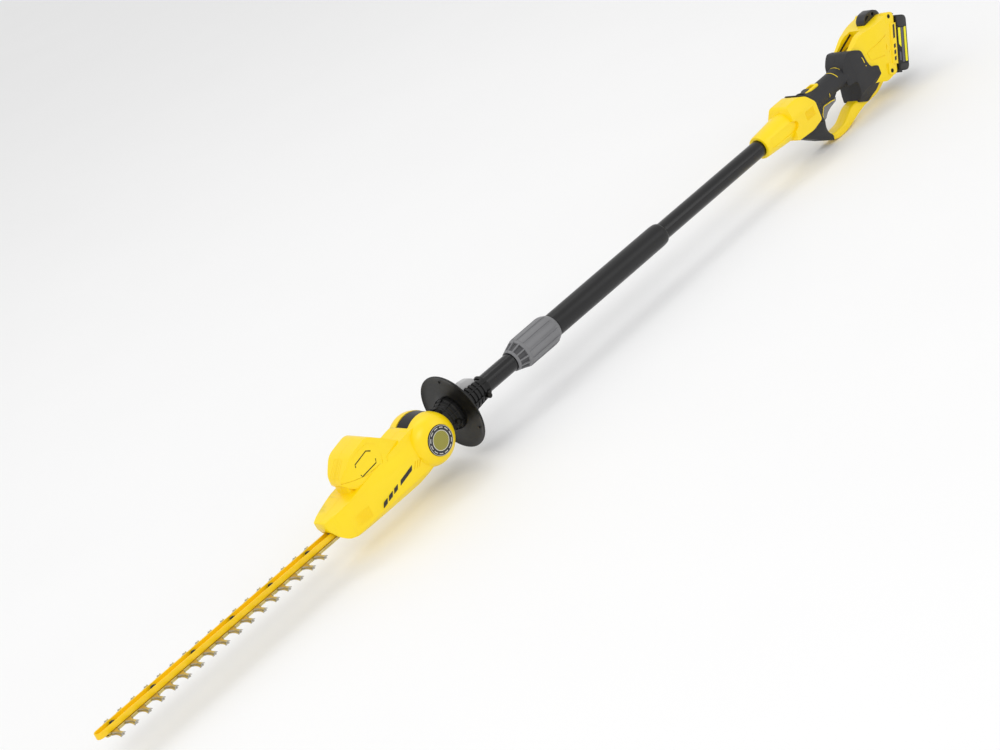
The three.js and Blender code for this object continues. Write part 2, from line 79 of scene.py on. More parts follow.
FLOOR_HALF = 40
sweep = bpy.data.meshes.new("studio_floor")
floor_corners = [(-FLOOR_HALF, -FLOOR_HALF), (FLOOR_HALF, -FLOOR_HALF), (FLOOR_HALF, FLOOR_HALF),
                 (-FLOOR_HALF, FLOOR_HALF)]
sweep.from_pydata([(x, y, -0.0005) for x, y in floor_corners], [], [(0, 1, 2, 3)])
studio_floor = bpy.data.objects.new("studio_floor", sweep)
bpy.context.collection.objects.link(studio_floor)

world = bpy.data.worlds.new("studio")
world.use_nodes = True
world.node_tree.nodes["Background"].inputs["Color"].default_value = (1, 1, 1, 1)
world.node_tree.nodes["Background"].inputs["Strength"].default_value = 0.8
scene.world = world

SOFT_BOXES = (
    ("key_light", (-2.6, -2.4, 3.4), (0.0, 0.0, 0.1), (2.6, 1.6), 42),
    ("side_light", (2.8, -3.2, 1.9), (0.4, 0.0, 0.1), (1.2, 2.6), 10),
    ("top_light", (0.4, 0.9, 3.2), (0.0, 0.0, 0.1), (3.0, 1.0), 14),
)
for light_name, stand, target, (wide, high), watts in SOFT_BOXES:
    lamp = bpy.data.lights.new(light_name, "AREA")
    lamp.shape = "RECTANGLE"
    lamp.size = wide
    lamp.size_y = high
    lamp.energy = watts
    soft_box = bpy.data.objects.new(light_name, lamp)
    aim = (Vector(target) - Vector(stand)).to_track_quat("-Z", "Y")
    soft_box.matrix_world = Matrix.Translation(stand) @ aim.to_matrix().to_4x4()
    bpy.context.collection.objects.link(soft_box)


class Value:
    """A shader socket that takes part in sums as a number does."""

    def __init__(self, finish, socket):
        self.finish = finish
        self.socket = socket

    def sum(self, operation, first, second=0.0):
        return self.finish.node("ShaderNodeMath", {"operation": operation}, {0: first, 1: second})

    def __add__(self, other):
        return self.sum("ADD", self, other)

    def __mul__(self, other):
        return self.sum("MULTIPLY", self, other)

    def __sub__(self, other):
        return self.sum("SUBTRACT", self, other)

    def __gt__(self, other):
        return self.sum("GREATER_THAN", self, other)

    __radd__ = __add__


class Finish:
    """A material being made: a Principled skin and the nodes that feed it."""

    def __init__(self, name, **skin):
        self.material = bpy.data.materials.new(name)
        self.material.use_nodes = True
        self.nodes = self.material.node_tree.nodes
        self.skin = self.nodes["Principled BSDF"]
        self.where = self.node("ShaderNodeTexCoord", {}, {}, "Object")
        self.feed(self.skin, skin)

    def feed(self, node, values):
        for socket, value in values.items():
            if isinstance(value, Value):
                self.material.node_tree.links.new(value.socket, node.inputs[socket])
            else:
                node.inputs[socket].default_value = value

    def node(self, kind, settings, values, output=0):
        made = self.nodes.new(kind)
        for name, setting in settings.items():
            setattr(made, name, setting)
        self.feed(made, values)
        return Value(self, made.outputs[output])

    def noise(self, scale, detail=2.0, stretch=(1, 1, 1)):
        spot = self.node("ShaderNodeMapping", {}, {"Vector": self.where, "Scale": stretch})
        return self.node("ShaderNodeTexNoise", {}, {"Vector": spot, "Scale": scale, "Detail": detail}, "Fac")

    def blend(self, share, first, second):
        settings = {"data_type": "RGBA"}
        return self.node("ShaderNodeMix", settings, {"Factor": share, 6: first, 7: second}, 2)

    def bump(self, height, distance):
        values = {"Height": height, "Distance": distance}
        self.feed(self.skin, {"Normal": self.node("ShaderNodeBump", {}, values)})


white_floor = Finish("white_floor", Roughness=0.9)
whites = [(tone, tone, tone, 1) for tone in (0.93, 0.95)]
paper = white_floor.noise(3.0)
white_floor.feed(white_floor.skin, {"Base Color": white_floor.blend(paper, *whites)})
sweep.materials.append(white_floor.material)

# ---- Blades ----
# Two thin combs of ground spring steel lie on each other and slide past each other. Each tooth is ground
# to a bevel on both flanks, and the punched bar runs under the rail, held up to it by the bolts.
MM = 0.001
AXIS_UP = sum(corner[2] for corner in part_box("front_tube")) / 2
TIP = cad_box[0][0]
SHARP_ABOVE = 32


def place(x, y, z):
    """A point in millimetres: along the pole from the blade's tip, across, and up from the pole's axis."""
    return Vector((TIP + x * MM, y * MM, AXIS_UP + z * MM))


def reach(node, axis):
    """A node's lowest and highest coordinate on an axis, in millimetres as place() takes them."""
    start = (TIP, 0, AXIS_UP)[axis]
    return [(corner[axis] - start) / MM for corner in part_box(node)]


def axis_frame(axis):
    """The world directions of an outline's u and v, and of its depth."""
    x, y, z = Vector((1, 0, 0)), Vector((0, 1, 0)), Vector((0, 0, 1))
    return {"x": (y, z, x), "y": (x, z, y), "z": (x, y, z)}[axis]


def softened(points, radius, steps=4):
    """An outline with its corners turned into arcs of about that radius."""
    rounded = []
    count = len(points)
    for i, point in enumerate(points):
        here = Vector(point[:2])
        size = point[2] if len(point) > 2 else radius
        if size <= 0:
            rounded.append(here)
            continue
        before = Vector(points[i - 1][:2]) - here
        after = Vector(points[(i + 1) % count][:2]) - here
        start = here + before.normalized() * min(size, before.length * 0.48)
        end = here + after.normalized() * min(size, after.length * 0.48)
        for step in range(steps + 1):
            t = step / steps
            rounded.append(start * (1 - t) ** 2 + here * 2 * t * (1 - t) + end * t ** 2)
    return rounded


def both_sides(half, flip=1):
    """An outline from one half of it, mirrored in its second coordinate, or in its first with flip=0."""
    mirrored = []
    for point in reversed(half):
        other = list(point)
        other[flip] = -other[flip]
        mirrored.append(tuple(other))
    return half + mirrored


def as_object(name, bm):
    """A new object from a bmesh, its faces turned outwards."""
    bmesh.ops.remove_doubles(bm, verts=bm.verts, dist=1e-6)
    bmesh.ops.recalc_face_normals(bm, faces=bm.faces)
    mesh = bpy.data.meshes.new(name)
    bm.to_mesh(mesh)
    bm.free()
    made = bpy.data.objects.new(name, mesh)
    bpy.context.collection.objects.link(made)
    return made


def plate(points, low, high, axis="y", corner=0.0, edge=0.0, steps=3):
    """An outline with thickness along one axis; corner rounds the outline and edge its rims."""
    u, v, depth = axis_frame(axis)
    bm = bmesh.new()
    origin = place(0, 0, 0)
    loop = []
    for flat_point in softened(points, corner):
        spot = origin + (u * flat_point[0] + v * flat_point[1] + depth * low) * MM
        loop.append(bm.verts.new(spot))
    face = bm.faces.new(loop)
    grown = bmesh.ops.extrude_face_region(bm, geom=[face])
    moved = [item for item in grown["geom"] if isinstance(item, bmesh.types.BMVert)]
    bmesh.ops.translate(bm, verts=moved, vec=depth * (high - low) * MM)
    bmesh.ops.recalc_face_normals(bm, faces=bm.faces)
    if edge > 0:
        rims = [e for e in bm.edges if abs((e.verts[0].co - e.verts[1].co).dot(depth)) < 1e-7]
        bmesh.ops.bevel(bm, geom=rims, offset=edge * MM, segments=steps, profile=0.5, affect="EDGES")
    return as_object("plate", bm)


def block(x, y, z, edge=0.0, steps=2):
    """A box between two coordinates on each axis, its edges rounded."""
    made = plate([(x[0], z[0]), (x[1], z[0]), (x[1], z[1]), (x[0], z[1])], y[0], y[1])
    if edge > 0:
        round_edges(made, edge, steps)
    return made


def applied(obj):
    """Turns what the modifiers make into the object's own plain mesh."""
    seen = obj.evaluated_get(bpy.context.evaluated_depsgraph_get())
    mesh = bpy.data.meshes.new_from_object(seen)
    old = obj.data
    obj.modifiers.clear()
    obj.data = mesh
    bpy.data.meshes.remove(old)
    return obj


def carve(obj, *tools, by="DIFFERENCE"):
    """Cuts, joins or intersects with the tools, which are used up."""
    for tool in tools:
        step = obj.modifiers.new("carve", "BOOLEAN")
        step.operation = by
        step.solver = "MANIFOLD"
        step.object = tool
        applied(obj)
        bpy.data.objects.remove(tool)
    return obj


def joined(*objects):
    """One object from several separate shapes."""
    bm = bmesh.new()
    for item in objects:
        bm.from_mesh(item.data)
        bpy.data.objects.remove(item)
    return as_object("joined", bm)


def dressed(obj, name, body, material, *nodes, slot=None):
    """Names a finished piece, gives it its material and shading, and seats it in the frame."""
    obj.name = name
    obj.data.name = name
    obj.data.materials.clear()
    obj.data.materials.append(material)
    obj.data.shade_smooth()
    obj.data.set_sharp_from_angle(angle=math.radians(SHARP_ABOVE))
    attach(obj, body)
    if nodes:
        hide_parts(*nodes)
    return obj


def repeat_tree():
    """Copies a unit along a step and round a centre, then makes the copies real."""
    tree = bpy.data.node_groups.new("repeated", "GeometryNodeTree")
    face = tree.interface
    face.new_socket("Geometry", in_out="INPUT", socket_type="NodeSocketGeometry")
    for name, kind in (("Count", "Int"), ("Step", "Vector"), ("Turn", "Vector"), ("Centre", "Vector")):
        face.new_socket(name, in_out="INPUT", socket_type=f"NodeSocket{kind}")
    face.new_socket("Geometry", in_out="OUTPUT", socket_type="NodeSocketGeometry")

    def node(kind, settings, **links):
        made = tree.nodes.new(kind)
        for name, value in settings.items():
            setattr(made, name, value)
        for socket, source in links.items():
            tree.links.new(source, made.inputs[socket.replace("_", " ")])
        return made

    given = tree.nodes.new("NodeGroupInput").outputs
    back = node("ShaderNodeVectorMath", {"operation": "SCALE"}, Vector=given["Centre"])
    back.inputs["Scale"].default_value = -1
    unit = node("GeometryNodeTransform", {}, Geometry=given["Geometry"], Translation=back.outputs[0])
    line = node("GeometryNodeMeshLine", {"mode": "OFFSET"}, Count=given["Count"],
                Start_Location=given["Centre"], Offset=given["Step"])
    index = tree.nodes.new("GeometryNodeInputIndex")
    angle = node("ShaderNodeVectorMath", {"operation": "SCALE"}, Vector=given["Turn"], Scale=index.outputs[0])
    turn = node("FunctionNodeEulerToRotation", {}, Euler=angle.outputs[0])
    copies = node("GeometryNodeInstanceOnPoints", {}, Points=line.outputs[0], Instance=unit.outputs[0],
                  Rotation=turn.outputs[0])
    real = node("GeometryNodeRealizeInstances", {}, Geometry=copies.outputs[0])
    node("NodeGroupOutput", {}, Geometry=real.outputs[0])
    return tree


REPEAT = repeat_tree()
IDENTIFIER = {item.name: item.identifier for item in REPEAT.interface.items_tree if item.in_out == "INPUT"}


def repeated(unit, count, step=(0, 0, 0), turn=(0, 0, 0), centre=(0, 0, 0)):
    """The unit copied count times, each a step on in millimetres or a turn on in degrees about the centre."""
    rule = unit.modifiers.new("repeated", "NODES")
    rule.node_group = REPEAT
    rule[IDENTIFIER["Count"]] = count
    rule[IDENTIFIER["Step"]] = Vector(step) * MM
    rule[IDENTIFIER["Turn"]] = Vector([math.radians(a) for a in turn])
    rule[IDENTIFIER["Centre"]] = place(*centre)
    unit.update_tag()
    return applied(unit)


def colour(red, green, blue):
    """A colour from its screen values, 0 to 255."""
    return tuple((c / 255) ** 2.2 for c in (red, green, blue)) + (1.0,)


TOOTH = {"count": 17, "pitch": 24.4, "first": 23, "far_shift": 11.6, "root": 9.5, "waist": 21.5, "tip": 31.3}
GRIND = 1.35
STROKE_ROOM = 10.2
BAR_END = 505
YOKE_HALF_LONG, YOKE_HALF_WIDE = 16, 21
blade_steel = Finish("blade_steel", Metallic=0.85)
ground = blade_steel.noise(900, 3, (0.08, 1, 1))
stain = blade_steel.noise(60, 3)
bevel_mark = blade_steel.node("ShaderNodeAttribute", {"attribute_name": "bevel"}, {}, "Fac")
punched = blade_steel.blend(stain, colour(176, 156, 84), colour(232, 214, 150))
flank = blade_steel.blend(ground, colour(150, 148, 142), colour(206, 204, 198))
blade_steel.feed(blade_steel.skin, {
    "Base Color": blade_steel.blend(bevel_mark, punched, flank),
    "Roughness": 0.26 + ground * 0.2,
})
blade_steel.bump(ground, 0.00004)


def tooth(centre, side, cutting, back):
    """One tooth: full width at its cutting face, ground narrower to its back, hooked out at its tip."""
    full = [(-6.4, TOOTH["root"] - 0.01), (-3.4, 15.5), (-2.6, TOOTH["waist"]), (-3.3, 29),
            (-4.0, TOOTH["tip"])]
    full += [(0, 29.6)] + [(-dx, y) for dx, y in reversed(full)]
    bm = bmesh.new()
    bevel = bm.faces.layers.float.new("bevel")
    cutting_loop = [bm.verts.new(place(centre + dx, side * y, cutting)) for dx, y in full]
    back_loop = []
    for dx, y in full:
        narrow = math.copysign(max(0.0, abs(dx) - GRIND), dx)
        inward = 0.0 if y < TOOTH["root"] else GRIND / 2
        back_loop.append(bm.verts.new(place(centre + narrow, side * (y - inward), back)))
    bm.faces.new(cutting_loop)
    bm.faces.new(back_loop)
    for i, corner in enumerate(cutting_loop):
        k = (i + 1) % len(full)
        bm.faces.new((corner, cutting_loop[k], back_loop[k], back_loop[i]))[bevel] = 1.0
    return as_object("tooth", bm)


bolt_row = [sum(reach(f"rail_bolt_{i}", 0)) / 2 for i in range(1, 7)]
gear_x = sum(reach("drive_gear", 0)) / 2
for blade_name, stagger in (("upper_blade", 1.2), ("lower_blade", -1.2)):
    low, high = reach(blade_name, 2)
    cutting, back = (low, high) if stagger > 0 else (high, low)
    start = TOOTH["first"] + stagger - 10
    bar_half = TOOTH["root"]
    bar_plan = both_sides([(start, -6), (start + 8, -bar_half), (BAR_END, -bar_half)])
    bar = plate(bar_plan, low, high, axis="z", corner=2)
    yoke = block((gear_x - YOKE_HALF_LONG, gear_x + YOKE_HALF_LONG), (-YOKE_HALF_WIDE, YOKE_HALF_WIDE),
                 (low, high))
    window = (-15, 9) if stagger > 0 else (-9, 15)
    gone = [block((gear_x - 9.8, gear_x + 9.8), window, (low - 1, high + 1))]
    gone += [block((x + stagger - STROKE_ROOM, x + stagger + STROKE_ROOM), (-2.4, 2.4),
                   (low - 1, high + 1)) for x in bolt_row]
    carve(bar, yoke, by="UNION")
    carve(bar, *gone)
    rows = [bar]
    for side, shift in ((-1, 0), (1, TOOTH["far_shift"])):
        unit = tooth(TOOTH["first"] + shift + stagger, side, cutting, back)
        rows.append(repeated(unit, TOOTH["count"], step=(TOOTH["pitch"], 0, 0)))
    dressed(joined(*rows), blade_name + "_ground", blade_name, blade_steel.material, blade_name)

# ---- Rail ----
# The blades are carried under a folded steel channel with a rounded tip, powder coated yellow. Six black
# bolts with wide heads go down through it and the blades' slots into nuts below.


def moulded(name, dark, light, rough, grain, depth, **skin):
    """Moulded plastic or rubber: a fine even grain, faint handling marks and a slow drift of tone."""
    made = Finish(name, **skin)
    drift = made.noise(14, 3)
    scuff = made.noise(160, 4, (0.25, 1, 1.6))
    texture = made.noise(grain, 2)
    made.feed(made.skin, {
        "Base Color": made.blend(drift, dark, light),
        "Roughness": rough + (scuff - 0.5) * 0.16 + (texture - 0.5) * 0.1,
    })
    made.bump(texture + scuff * 0.4, depth)
    return made.material


def grained(name, dark, light, rough, grain, tone, depth, **skin):
    """A skin whose tone drifts with one noise, while another sets its gloss and its fine relief."""
    made = Finish(name, **skin)
    relief = made.noise(*grain)
    base, spread = rough
    made.feed(made.skin, {
        "Base Color": made.blend(made.noise(*tone), dark, light),
        "Roughness": base + relief * spread,
    })
    made.bump(relief, depth)
    return made.material


def lathe(profile, axis="x", centre=(0, 0, 0), sides=72, corner=0.0, steps=3):
    """A closed solid turned about an axis; the profile is (along, radius) pairs that close on themselves."""
    u, v, depth = axis_frame(axis)
    bm = bmesh.new()
    rings = []
    path = softened(profile, corner, steps)
    for i in range(sides):
        angle = 2 * math.pi * i / sides
        out = u * math.cos(angle) + v * math.sin(angle)
        rings.append([bm.verts.new(place(*centre) + (depth * a + out * max(r, 0.0)) * MM) for a, r in path])
    for i, ring in enumerate(rings):
        following = rings[(i + 1) % sides]
        for j in range(len(path)):
            k = (j + 1) % len(path)
            if path[j][1] > 0 or path[k][1] > 0:
                bm.faces.new((ring[j], ring[k], following[k], following[j]))
    return as_object("turned", bm)


def rod(axis, centre, radius, length, sides=32, edge=0.0):
    """A round bar; the centre is the middle of its length."""
    half = length / 2
    profile = [(-half, 0), (-half, radius - edge), (edge - half, radius), (half - edge, radius),
               (half, radius - edge), (half, 0)]
    return lathe(profile, axis, centre, sides)


def round_edges(obj, width, steps=2, angle=28):
    """Breaks every edge sharper than the angle."""
    soft = obj.modifiers.new("edges", "BEVEL")
    soft.width = width * MM
    soft.segments = steps
    soft.limit_method = "ANGLE"
    soft.angle_limit = math.radians(angle)
    soft.use_clamp_overlap = True
    return applied(obj)


rail_yellow = moulded("rail_yellow", colour(246, 196, 0), colour(255, 212, 8), 0.34, 700, 0.00005)
black_oxide = grained("black_oxide", colour(30, 29, 28), colour(52, 50, 46), (0.34, 0.2), (1800, 3),
                      (1800, 3), 0.00004, Metallic=0.6)
RAIL_HALF, RAIL_WALL = 7.5, 1.9
rail_low, rail_high = reach("blade_rail", 2)
rail_back = reach("blade_rail", 0)[1]


def rail_outline(half):
    """The channel seen from above, with a half round tip."""
    angles = [math.radians(-90 + 15 * i) for i in range(13)]
    tip = [(RAIL_HALF - half * math.cos(a), half * math.sin(a)) for a in angles]
    return tip + [(rail_back, half), (rail_back, -half)]


rail = plate(rail_outline(RAIL_HALF), rail_low, rail_high, axis="z")
carve(rail, plate(rail_outline(RAIL_HALF - RAIL_WALL), rail_low + RAIL_WALL, rail_high + 5, axis="z"))
round_edges(rail, 0.45, 2)
dressed(rail, "folded_rail", "head", rail_yellow, "blade_rail", slot="yellow_paint")

bolt_head = rod("z", (bolt_row[0], 0, -21.2), 4.7, 4.8, 6, 0.5)
washer = rod("z", (bolt_row[0], 0, -23.6), 5.4, 0.8, 28, 0.2)
dome = lathe([(-19.0, 0), (-19.0, 3.4), (-18.2, 2.7), (-17.7, 1.4), (-17.6, 0)], "z", (bolt_row[0], 0, 0), 24)
shank = rod("z", (bolt_row[0], 0, -28.4), 2.1, 9, 16)
nut = rod("z", (bolt_row[0], 0, -32.5), 4.4, 3, 6, 0.4)
bolt_step = (bolt_row[-1] - bolt_row[0]) / 5
bolts = repeated(joined(bolt_head, washer, dome, shank, nut), 6, step=(bolt_step, 0, 0))
dressed(bolts, "rail_bolts", "head", black_oxide, *[f"rail_bolt_{i}" for i in range(1, 7)], slot="dark_steel")

# ---- Head ----
# Two glass-filled nylon mouldings, screwed together on the middle plane. A deep belly covers the gear case,
# a faceted pod stands over the upright motor, and a cheek on each side of the slot holds the pivot.
yellow_plastic = moulded("yellow_plastic", colour(253, 212, 0), colour(255, 226, 6), 0.34, 1500, 0.00006)
# A near-black finish for thin sheets that stand in for the shade inside slots: painted shade.
painted_recess_shade = moulded("painted_recess_shade", colour(22, 22, 22), colour(30, 30, 30), 0.6, 1200, 0.00004)


def span(side, near, far):
    """Two distances on one side of the middle plane, the lower coordinate first."""
    return sorted((side * near, side * far))


def halves(obj, gap=0.15):
    """Splits a body down the middle plane into closed left and right mouldings."""
    parts = []
    for side in (-1, 1):
        bm = bmesh.new()
        bm.from_mesh(obj.data)
        bmesh.ops.remove_doubles(bm, verts=bm.verts, dist=1e-6)
        everything = bm.verts[:] + bm.edges[:] + bm.faces[:]
        at = Vector((0, side * gap * MM, 0))
        cut = bmesh.ops.bisect_plane(bm, geom=everything, plane_co=at, plane_no=(0, side, 0),
                                     clear_inner=True)
        rim = [item for item in cut["geom_cut"] if isinstance(item, bmesh.types.BMEdge)]
        bmesh.ops.triangle_fill(bm, use_beauty=True, edges=rim)
        parts.append(as_object("half", bm))
    bpy.data.objects.remove(obj)
    return parts


def dressed_halves(obj, name, body, material, node, slot=None):
    """Splits a body into its left and right mouldings, each in place of its own node."""
    for side, half in zip(("left", "right"), halves(obj)):
        dressed(half, f"{name}_{side}", body, material, f"{node}_{side}", slot=slot)


PIVOT = [(a + b) / 2 for a, b in zip(*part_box("pivot_bolt"))]
pivot_x = (PIVOT[0] - TIP) / MM
SLOT_HALF = 14.2
head_side = [(446, 4, 2), (447, -8, 3), (457, -26, 4), (468, -37, 5), (486, -42, 8), (560, -44, 10),
             (612, -44, 10), (642, -36, 10), (664, -16, 8), (668, 0, 6), (664, 22, 6), (652, 35, 6),
             (636, 35.5, 6), (600, 30, 8), (560, 24, 8), (500, 14, 4), (474, 9, 6)]
head_plan = both_sides([(444, -11, 3), (458, -19, 8), (486, -26, 12), (528, -30, 14), (585, -31, 12),
                        (700, -31, 2)])
head_section = [(-31, -32, 3), (-31, 4, 3), (-25, 22, 4), (-24, 60, 2), (24, 60, 2), (25, 22, 4),
                (31, 4, 3), (31, -32, 3), (21, -45, 4), (-21, -45, 4)]
head = plate(head_side, -32, 32)
carve(head, plate(head_plan, -60, 60, axis="z"), plate(head_section, 430, 705, axis="x"), by="INTERSECT")
round_edges(head, 1.6, 3, 24)

pod_side = [(500.5, 32, 2), (502, 42, 6), (528, 66, 9), (566, 74, 9), (594, 52, 6), (617, 31, 3),
            (617, 12, 1), (520, 12, 1), (506, 25, 3)]
pod_plan = both_sides([(499, -10.5, 3), (505, -17.5, 5), (522, -24.5, 8), (580, -25, 10), (620, -20, 2)])
pod = plate(pod_side, -26, 26)
carve(pod, plate(pod_plan, 0, 90, axis="z"), by="INTERSECT")
round_edges(pod, 4.4, 5, 20)
pod_middle = 560
inner_plan = [(pod_middle + (x - pod_middle) * 0.983, y * 0.958, r) for x, y, r in pod_plan]
seam = plate([(490, 38.5), (540, 25.5), (630, 25.5), (630, 24.6), (540, 24.6), (490, 37.6)], -40, 40)
carve(seam, plate(inner_plan, 10, 60, axis="z"))
carve(pod, seam)
inner_side = [(pod_middle + (x - pod_middle) * 0.99, 40 + (z - 40) * 0.985) + tuple(rest)
              for x, z, *rest in pod_side]
ridge_cut = repeated(block((490, 524), (-9.4, -8.9), (41, 63)), 6, step=(0, 3.66, 0))
carve(ridge_cut, plate(inner_side, -30, 30))
carve(pod, ridge_cut)
neck = plate([(506, 5), (506, 30), (575, 30), (575, 5)], -16, 16)
round_edges(neck, 2.2, 3)

cheek = [(-45, 0), (-45, 22, 2), (-38.5, 34.5, 8), (-27, 41, 8), (0, 42.5, 30), (27, 41, 8),
         (38.5, 34.5, 8), (45, 22, 2), (45, 0)]
hubs = lathe(cheek, "y", (pivot_x, 0, 0), 96, corner=6, steps=6)
carve(head, neck, pod, hubs, by="UNION")

room_plan = both_sides([(492, -17), (501, -22.5), (530, -25.6), (612, -26.6)])
room = plate(room_plan, -31, 7.5, axis="z")
motor_room = rod("z", (545, 0, 36), 18.6, 54)
mouth = block((438, 490), (-12, 12), (-35.4, -15.5))
knuckle_room = rod("y", (pivot_x, 0, 0), 42.6, 2 * SLOT_HALF, 96)
slot = block((pivot_x, 760), (-SLOT_HALF, SLOT_HALF), (-70, 70))
bolt_hole = rod("y", (pivot_x, 0, 0), 5.3, 78)
carve(head, room, motor_room, mouth, knuckle_room, slot, bolt_hole)
badge_seats = [rod("y", (pivot_x, side * 44.6, 0), 24, 3.2, 72) for side in (-1, 1)]
carve(head, *badge_seats)


def stroke(points, width):
    """The outline of a line of even width drawn through the points."""
    left, right = [], []
    for i, point in enumerate(points):
        before = Vector(points[max(i - 1, 0)])
        after = Vector(points[min(i + 1, len(points) - 1)])
        way = (after - before).normalized()
        out = Vector((-way.y, way.x)) * width / 2
        left.append(tuple(Vector(point) + out))
        right.append(tuple(Vector(point) - out))
    return left + right[::-1]


POD_FACE = 25.0
pod_slots = ([(528.7, 45.5), (530, 50), (556, 56), (563.5, 51)],
             [(531, 31.5), (532, 27.6), (562.8, 31), (565, 37)])
pod_grooves = ([(522, 40), (524, 54), (536, 63), (562, 65.5), (575, 55)],
               [(525, 31), (531, 22.5), (562, 24.5)], [(577, 38), (572, 23)],
               [(594, 32), (586, 31), (580, 21)], [(582, 47), (587, 40)])
slot_shadow_sheets = []
for side in (-1, 1):
    for points in pod_slots:
        deep = span(side, POD_FACE - 1.6, POD_FACE + 6)
        carve(head, plate(stroke(points, 2.0), *deep))
        # A thin dark sheet near each slot's mouth is painted shadow for the slot's inside.
        shallow = span(side, POD_FACE - 1.9, POD_FACE - 0.9)
        slot_shadow_sheets.append(plate(stroke(points, 1.9), *shallow))
    for points in pod_grooves:
        groove = span(side, POD_FACE - 0.6, POD_FACE + 6)
        carve(head, plate(stroke(points, 0.9), *groove))
    vent = block((483, 484.3), span(side, 25.3, 40), (-29, -12))
    carve(head, repeated(vent, 13, step=(2.6, side * 0.24, 0)))
    dash = plate([(611, -15), (618, -6), (620, -6), (613, -15)], *span(side, 29.9, 40))
    carve(head, repeated(dash, 3, step=(5, 0, -0.8)))
dressed_halves(head, "head_moulding", "head", yellow_plastic, "head_shell")
dressed(joined(*slot_shadow_sheets), "pod_slot_shadows", "head", painted_recess_shade, slot="black_plastic")

# ---- Head print and screws ----
# A plain charcoal bar and three slanted bars are printed on each cheek of the belly, and recessed
# black screws with a star drive hold the two mouldings together.
print_black = moulded("print_black", colour(34, 34, 36), colour(42, 42, 44), 0.5, 1200, 0.00002)
bars = [[(578, -20.5), (582, -13.5), (611, -6.5), (607, -13.5)]]
for x, z in ((536, -30.5), (549, -27.3), (562, -24.1)):
    bars.append([(x, z), (x + 4, z + 7), (x + 13, z + 9.2), (x + 9, z + 2.2)])
prints = []
for side in (-1, 1):
    for outline in bars:
        prints.append(plate(outline, *span(side, 29.2, 31.15), corner=0.8))
dressed(joined(*prints), "head_print", "head", print_black, slot="black_plastic")


def screw(axis, centre, radius, out):
    """A round screw head with a six-pointed recess, its face looking out along the axis."""
    cap = lathe([(-1.2 * out, 0), (-1.2 * out, radius), (0.2 * out, radius), (0.7 * out, radius * 0.8),
                 (0.9 * out, 0)], axis, centre, 32)
    star = [(radius * (0.5 if i % 2 else 0.34) * math.cos(math.pi * i / 6),
             radius * (0.5 if i % 2 else 0.34) * math.sin(math.pi * i / 6)) for i in range(12)]
    u, v, depth = axis_frame(axis)
    middle = Vector(centre)
    flat = [(middle.dot(u) + a, middle.dot(v) + b) for a, b in star]
    level = middle.dot(depth)
    return carve(cap, plate(flat, *sorted((level + 0.1 * out, level + 3 * out)), axis=axis))


head_screws = [screw("y", centre, 2.6, 1) for centre in ((524, 29.6, -5), (600, 31.1, 3), (622, 31.1, -27))]
dressed(joined(*head_screws), "head_screws", "head", black_oxide, slot="dark_steel")

# ---- Pivot labels ----
# A round label sits in a seat on each hub: an olive disc with fine wavy lines, a pale line round it and
# a black ring with raised dashes that count the locking places.
label = Finish("pivot_label")
centred = label.node("ShaderNodeMapping", {}, {"Vector": label.where, "Location": (-PIVOT[0], 0, -PIVOT[2])})
flattened = label.node("ShaderNodeVectorMath", {"operation": "MULTIPLY"}, {0: centred, 1: (1, 0, 1)})
radius = label.node("ShaderNodeVectorMath", {"operation": "LENGTH"}, {0: flattened}, "Value")
waves = label.node("ShaderNodeTexWave", {"wave_type": "BANDS", "bands_direction": "Z"},
                   {"Vector": flattened, "Scale": 130.0, "Distortion": 1.6, "Detail": 1.0,
                    "Detail Scale": 0.6}, "Fac")
olive = label.blend(waves, colour(128, 124, 44), colour(158, 152, 66))
shown = olive
for inner_edge, tone in ((0.0147, (226, 224, 214)), (0.0155, (40, 40, 44)), (0.0222, (196, 194, 184)),
                         (0.0229, (40, 40, 44))):
    shown = label.blend(radius > inner_edge, shown, colour(*tone))
label.feed(label.skin, {"Base Color": shown, "Roughness": 0.36 + waves * 0.12})
label.bump(waves, 0.00003)
dash_white = moulded("dash_white", colour(206, 204, 196), colour(226, 224, 216), 0.5, 1400, 0.00002)
for side, way in (("left", -1), ("right", 1)):
    disc = lathe([(way * 42.2, 0), (way * 42.2, 23.4), (way * 45.2, 23.4), (way * 45.7, 22.9),
                  (way * 45.7, 0)], "y", (pivot_x, 0, 0), 96)
    dressed(disc, f"pivot_label_{side}", "head", label.material, f"hub_badge_{side}", slot="olive_badge")
    arc = [(pivot_x + 19.6 * math.sin(a), 19.6 * math.cos(a)) for a in (-0.17, -0.06, 0.06, 0.17)]
    mark = plate(stroke(arc, 1.1), *span(way, 45.5, 45.95))
    marks = repeated(mark, 12, turn=(0, 30, 0), centre=(pivot_x, 0, 0))
    dressed(marks, f"pivot_dashes_{side}", "head", dash_white, slot="olive_badge")

# ---- Knuckle and neck ----
# The pole ends in a glass-filled knuckle between the hubs. It fans out through stepped rings stiffened
# by ribs to the seat of the guard, and a screw in a boss on its left ties it to the coupler behind.
black_plastic = moulded("black_plastic", colour(19, 19, 19), colour(27, 27, 27), 0.4, 1500, 0.00006,
                        **{"Specular IOR Level": 0.36})
knuckle = rod("y", (pivot_x, 0, 0), 41, 27.2, 96, 0.8)
arm = block((690, 712), (-13.6, 13.6), (-22, 22), 1.5)
steps_profile = [(706, 0), (706, 15), (709.5, 21.2, 1), (715, 21.6, 0.5), (716, 23.4, 0.5),
                 (721, 23.6, 0.5), (722, 25.6, 0.5), (727.5, 25.8, 0.5), (728.5, 27.4, 0.5),
                 (735.2, 27.5, 0.5), (735.2, 0)]
neck_rings = lathe(steps_profile, sides=96)
carve(knuckle, arm, neck_rings, by="UNION")
carve(knuckle, rod("y", (pivot_x, 0, 0), 5.3, 60), rod("x", (730, 0, 0), 5, 92),
      rod("x", (710, 0, 20.5), 2.6, 110))
rib = plate([(710, 20), (714, 22.6), (728, 28.4), (735, 28.4), (735, 20)], -0.7, 0.7)
ribs = repeated(rib, 10, turn=(36, 0, 0))
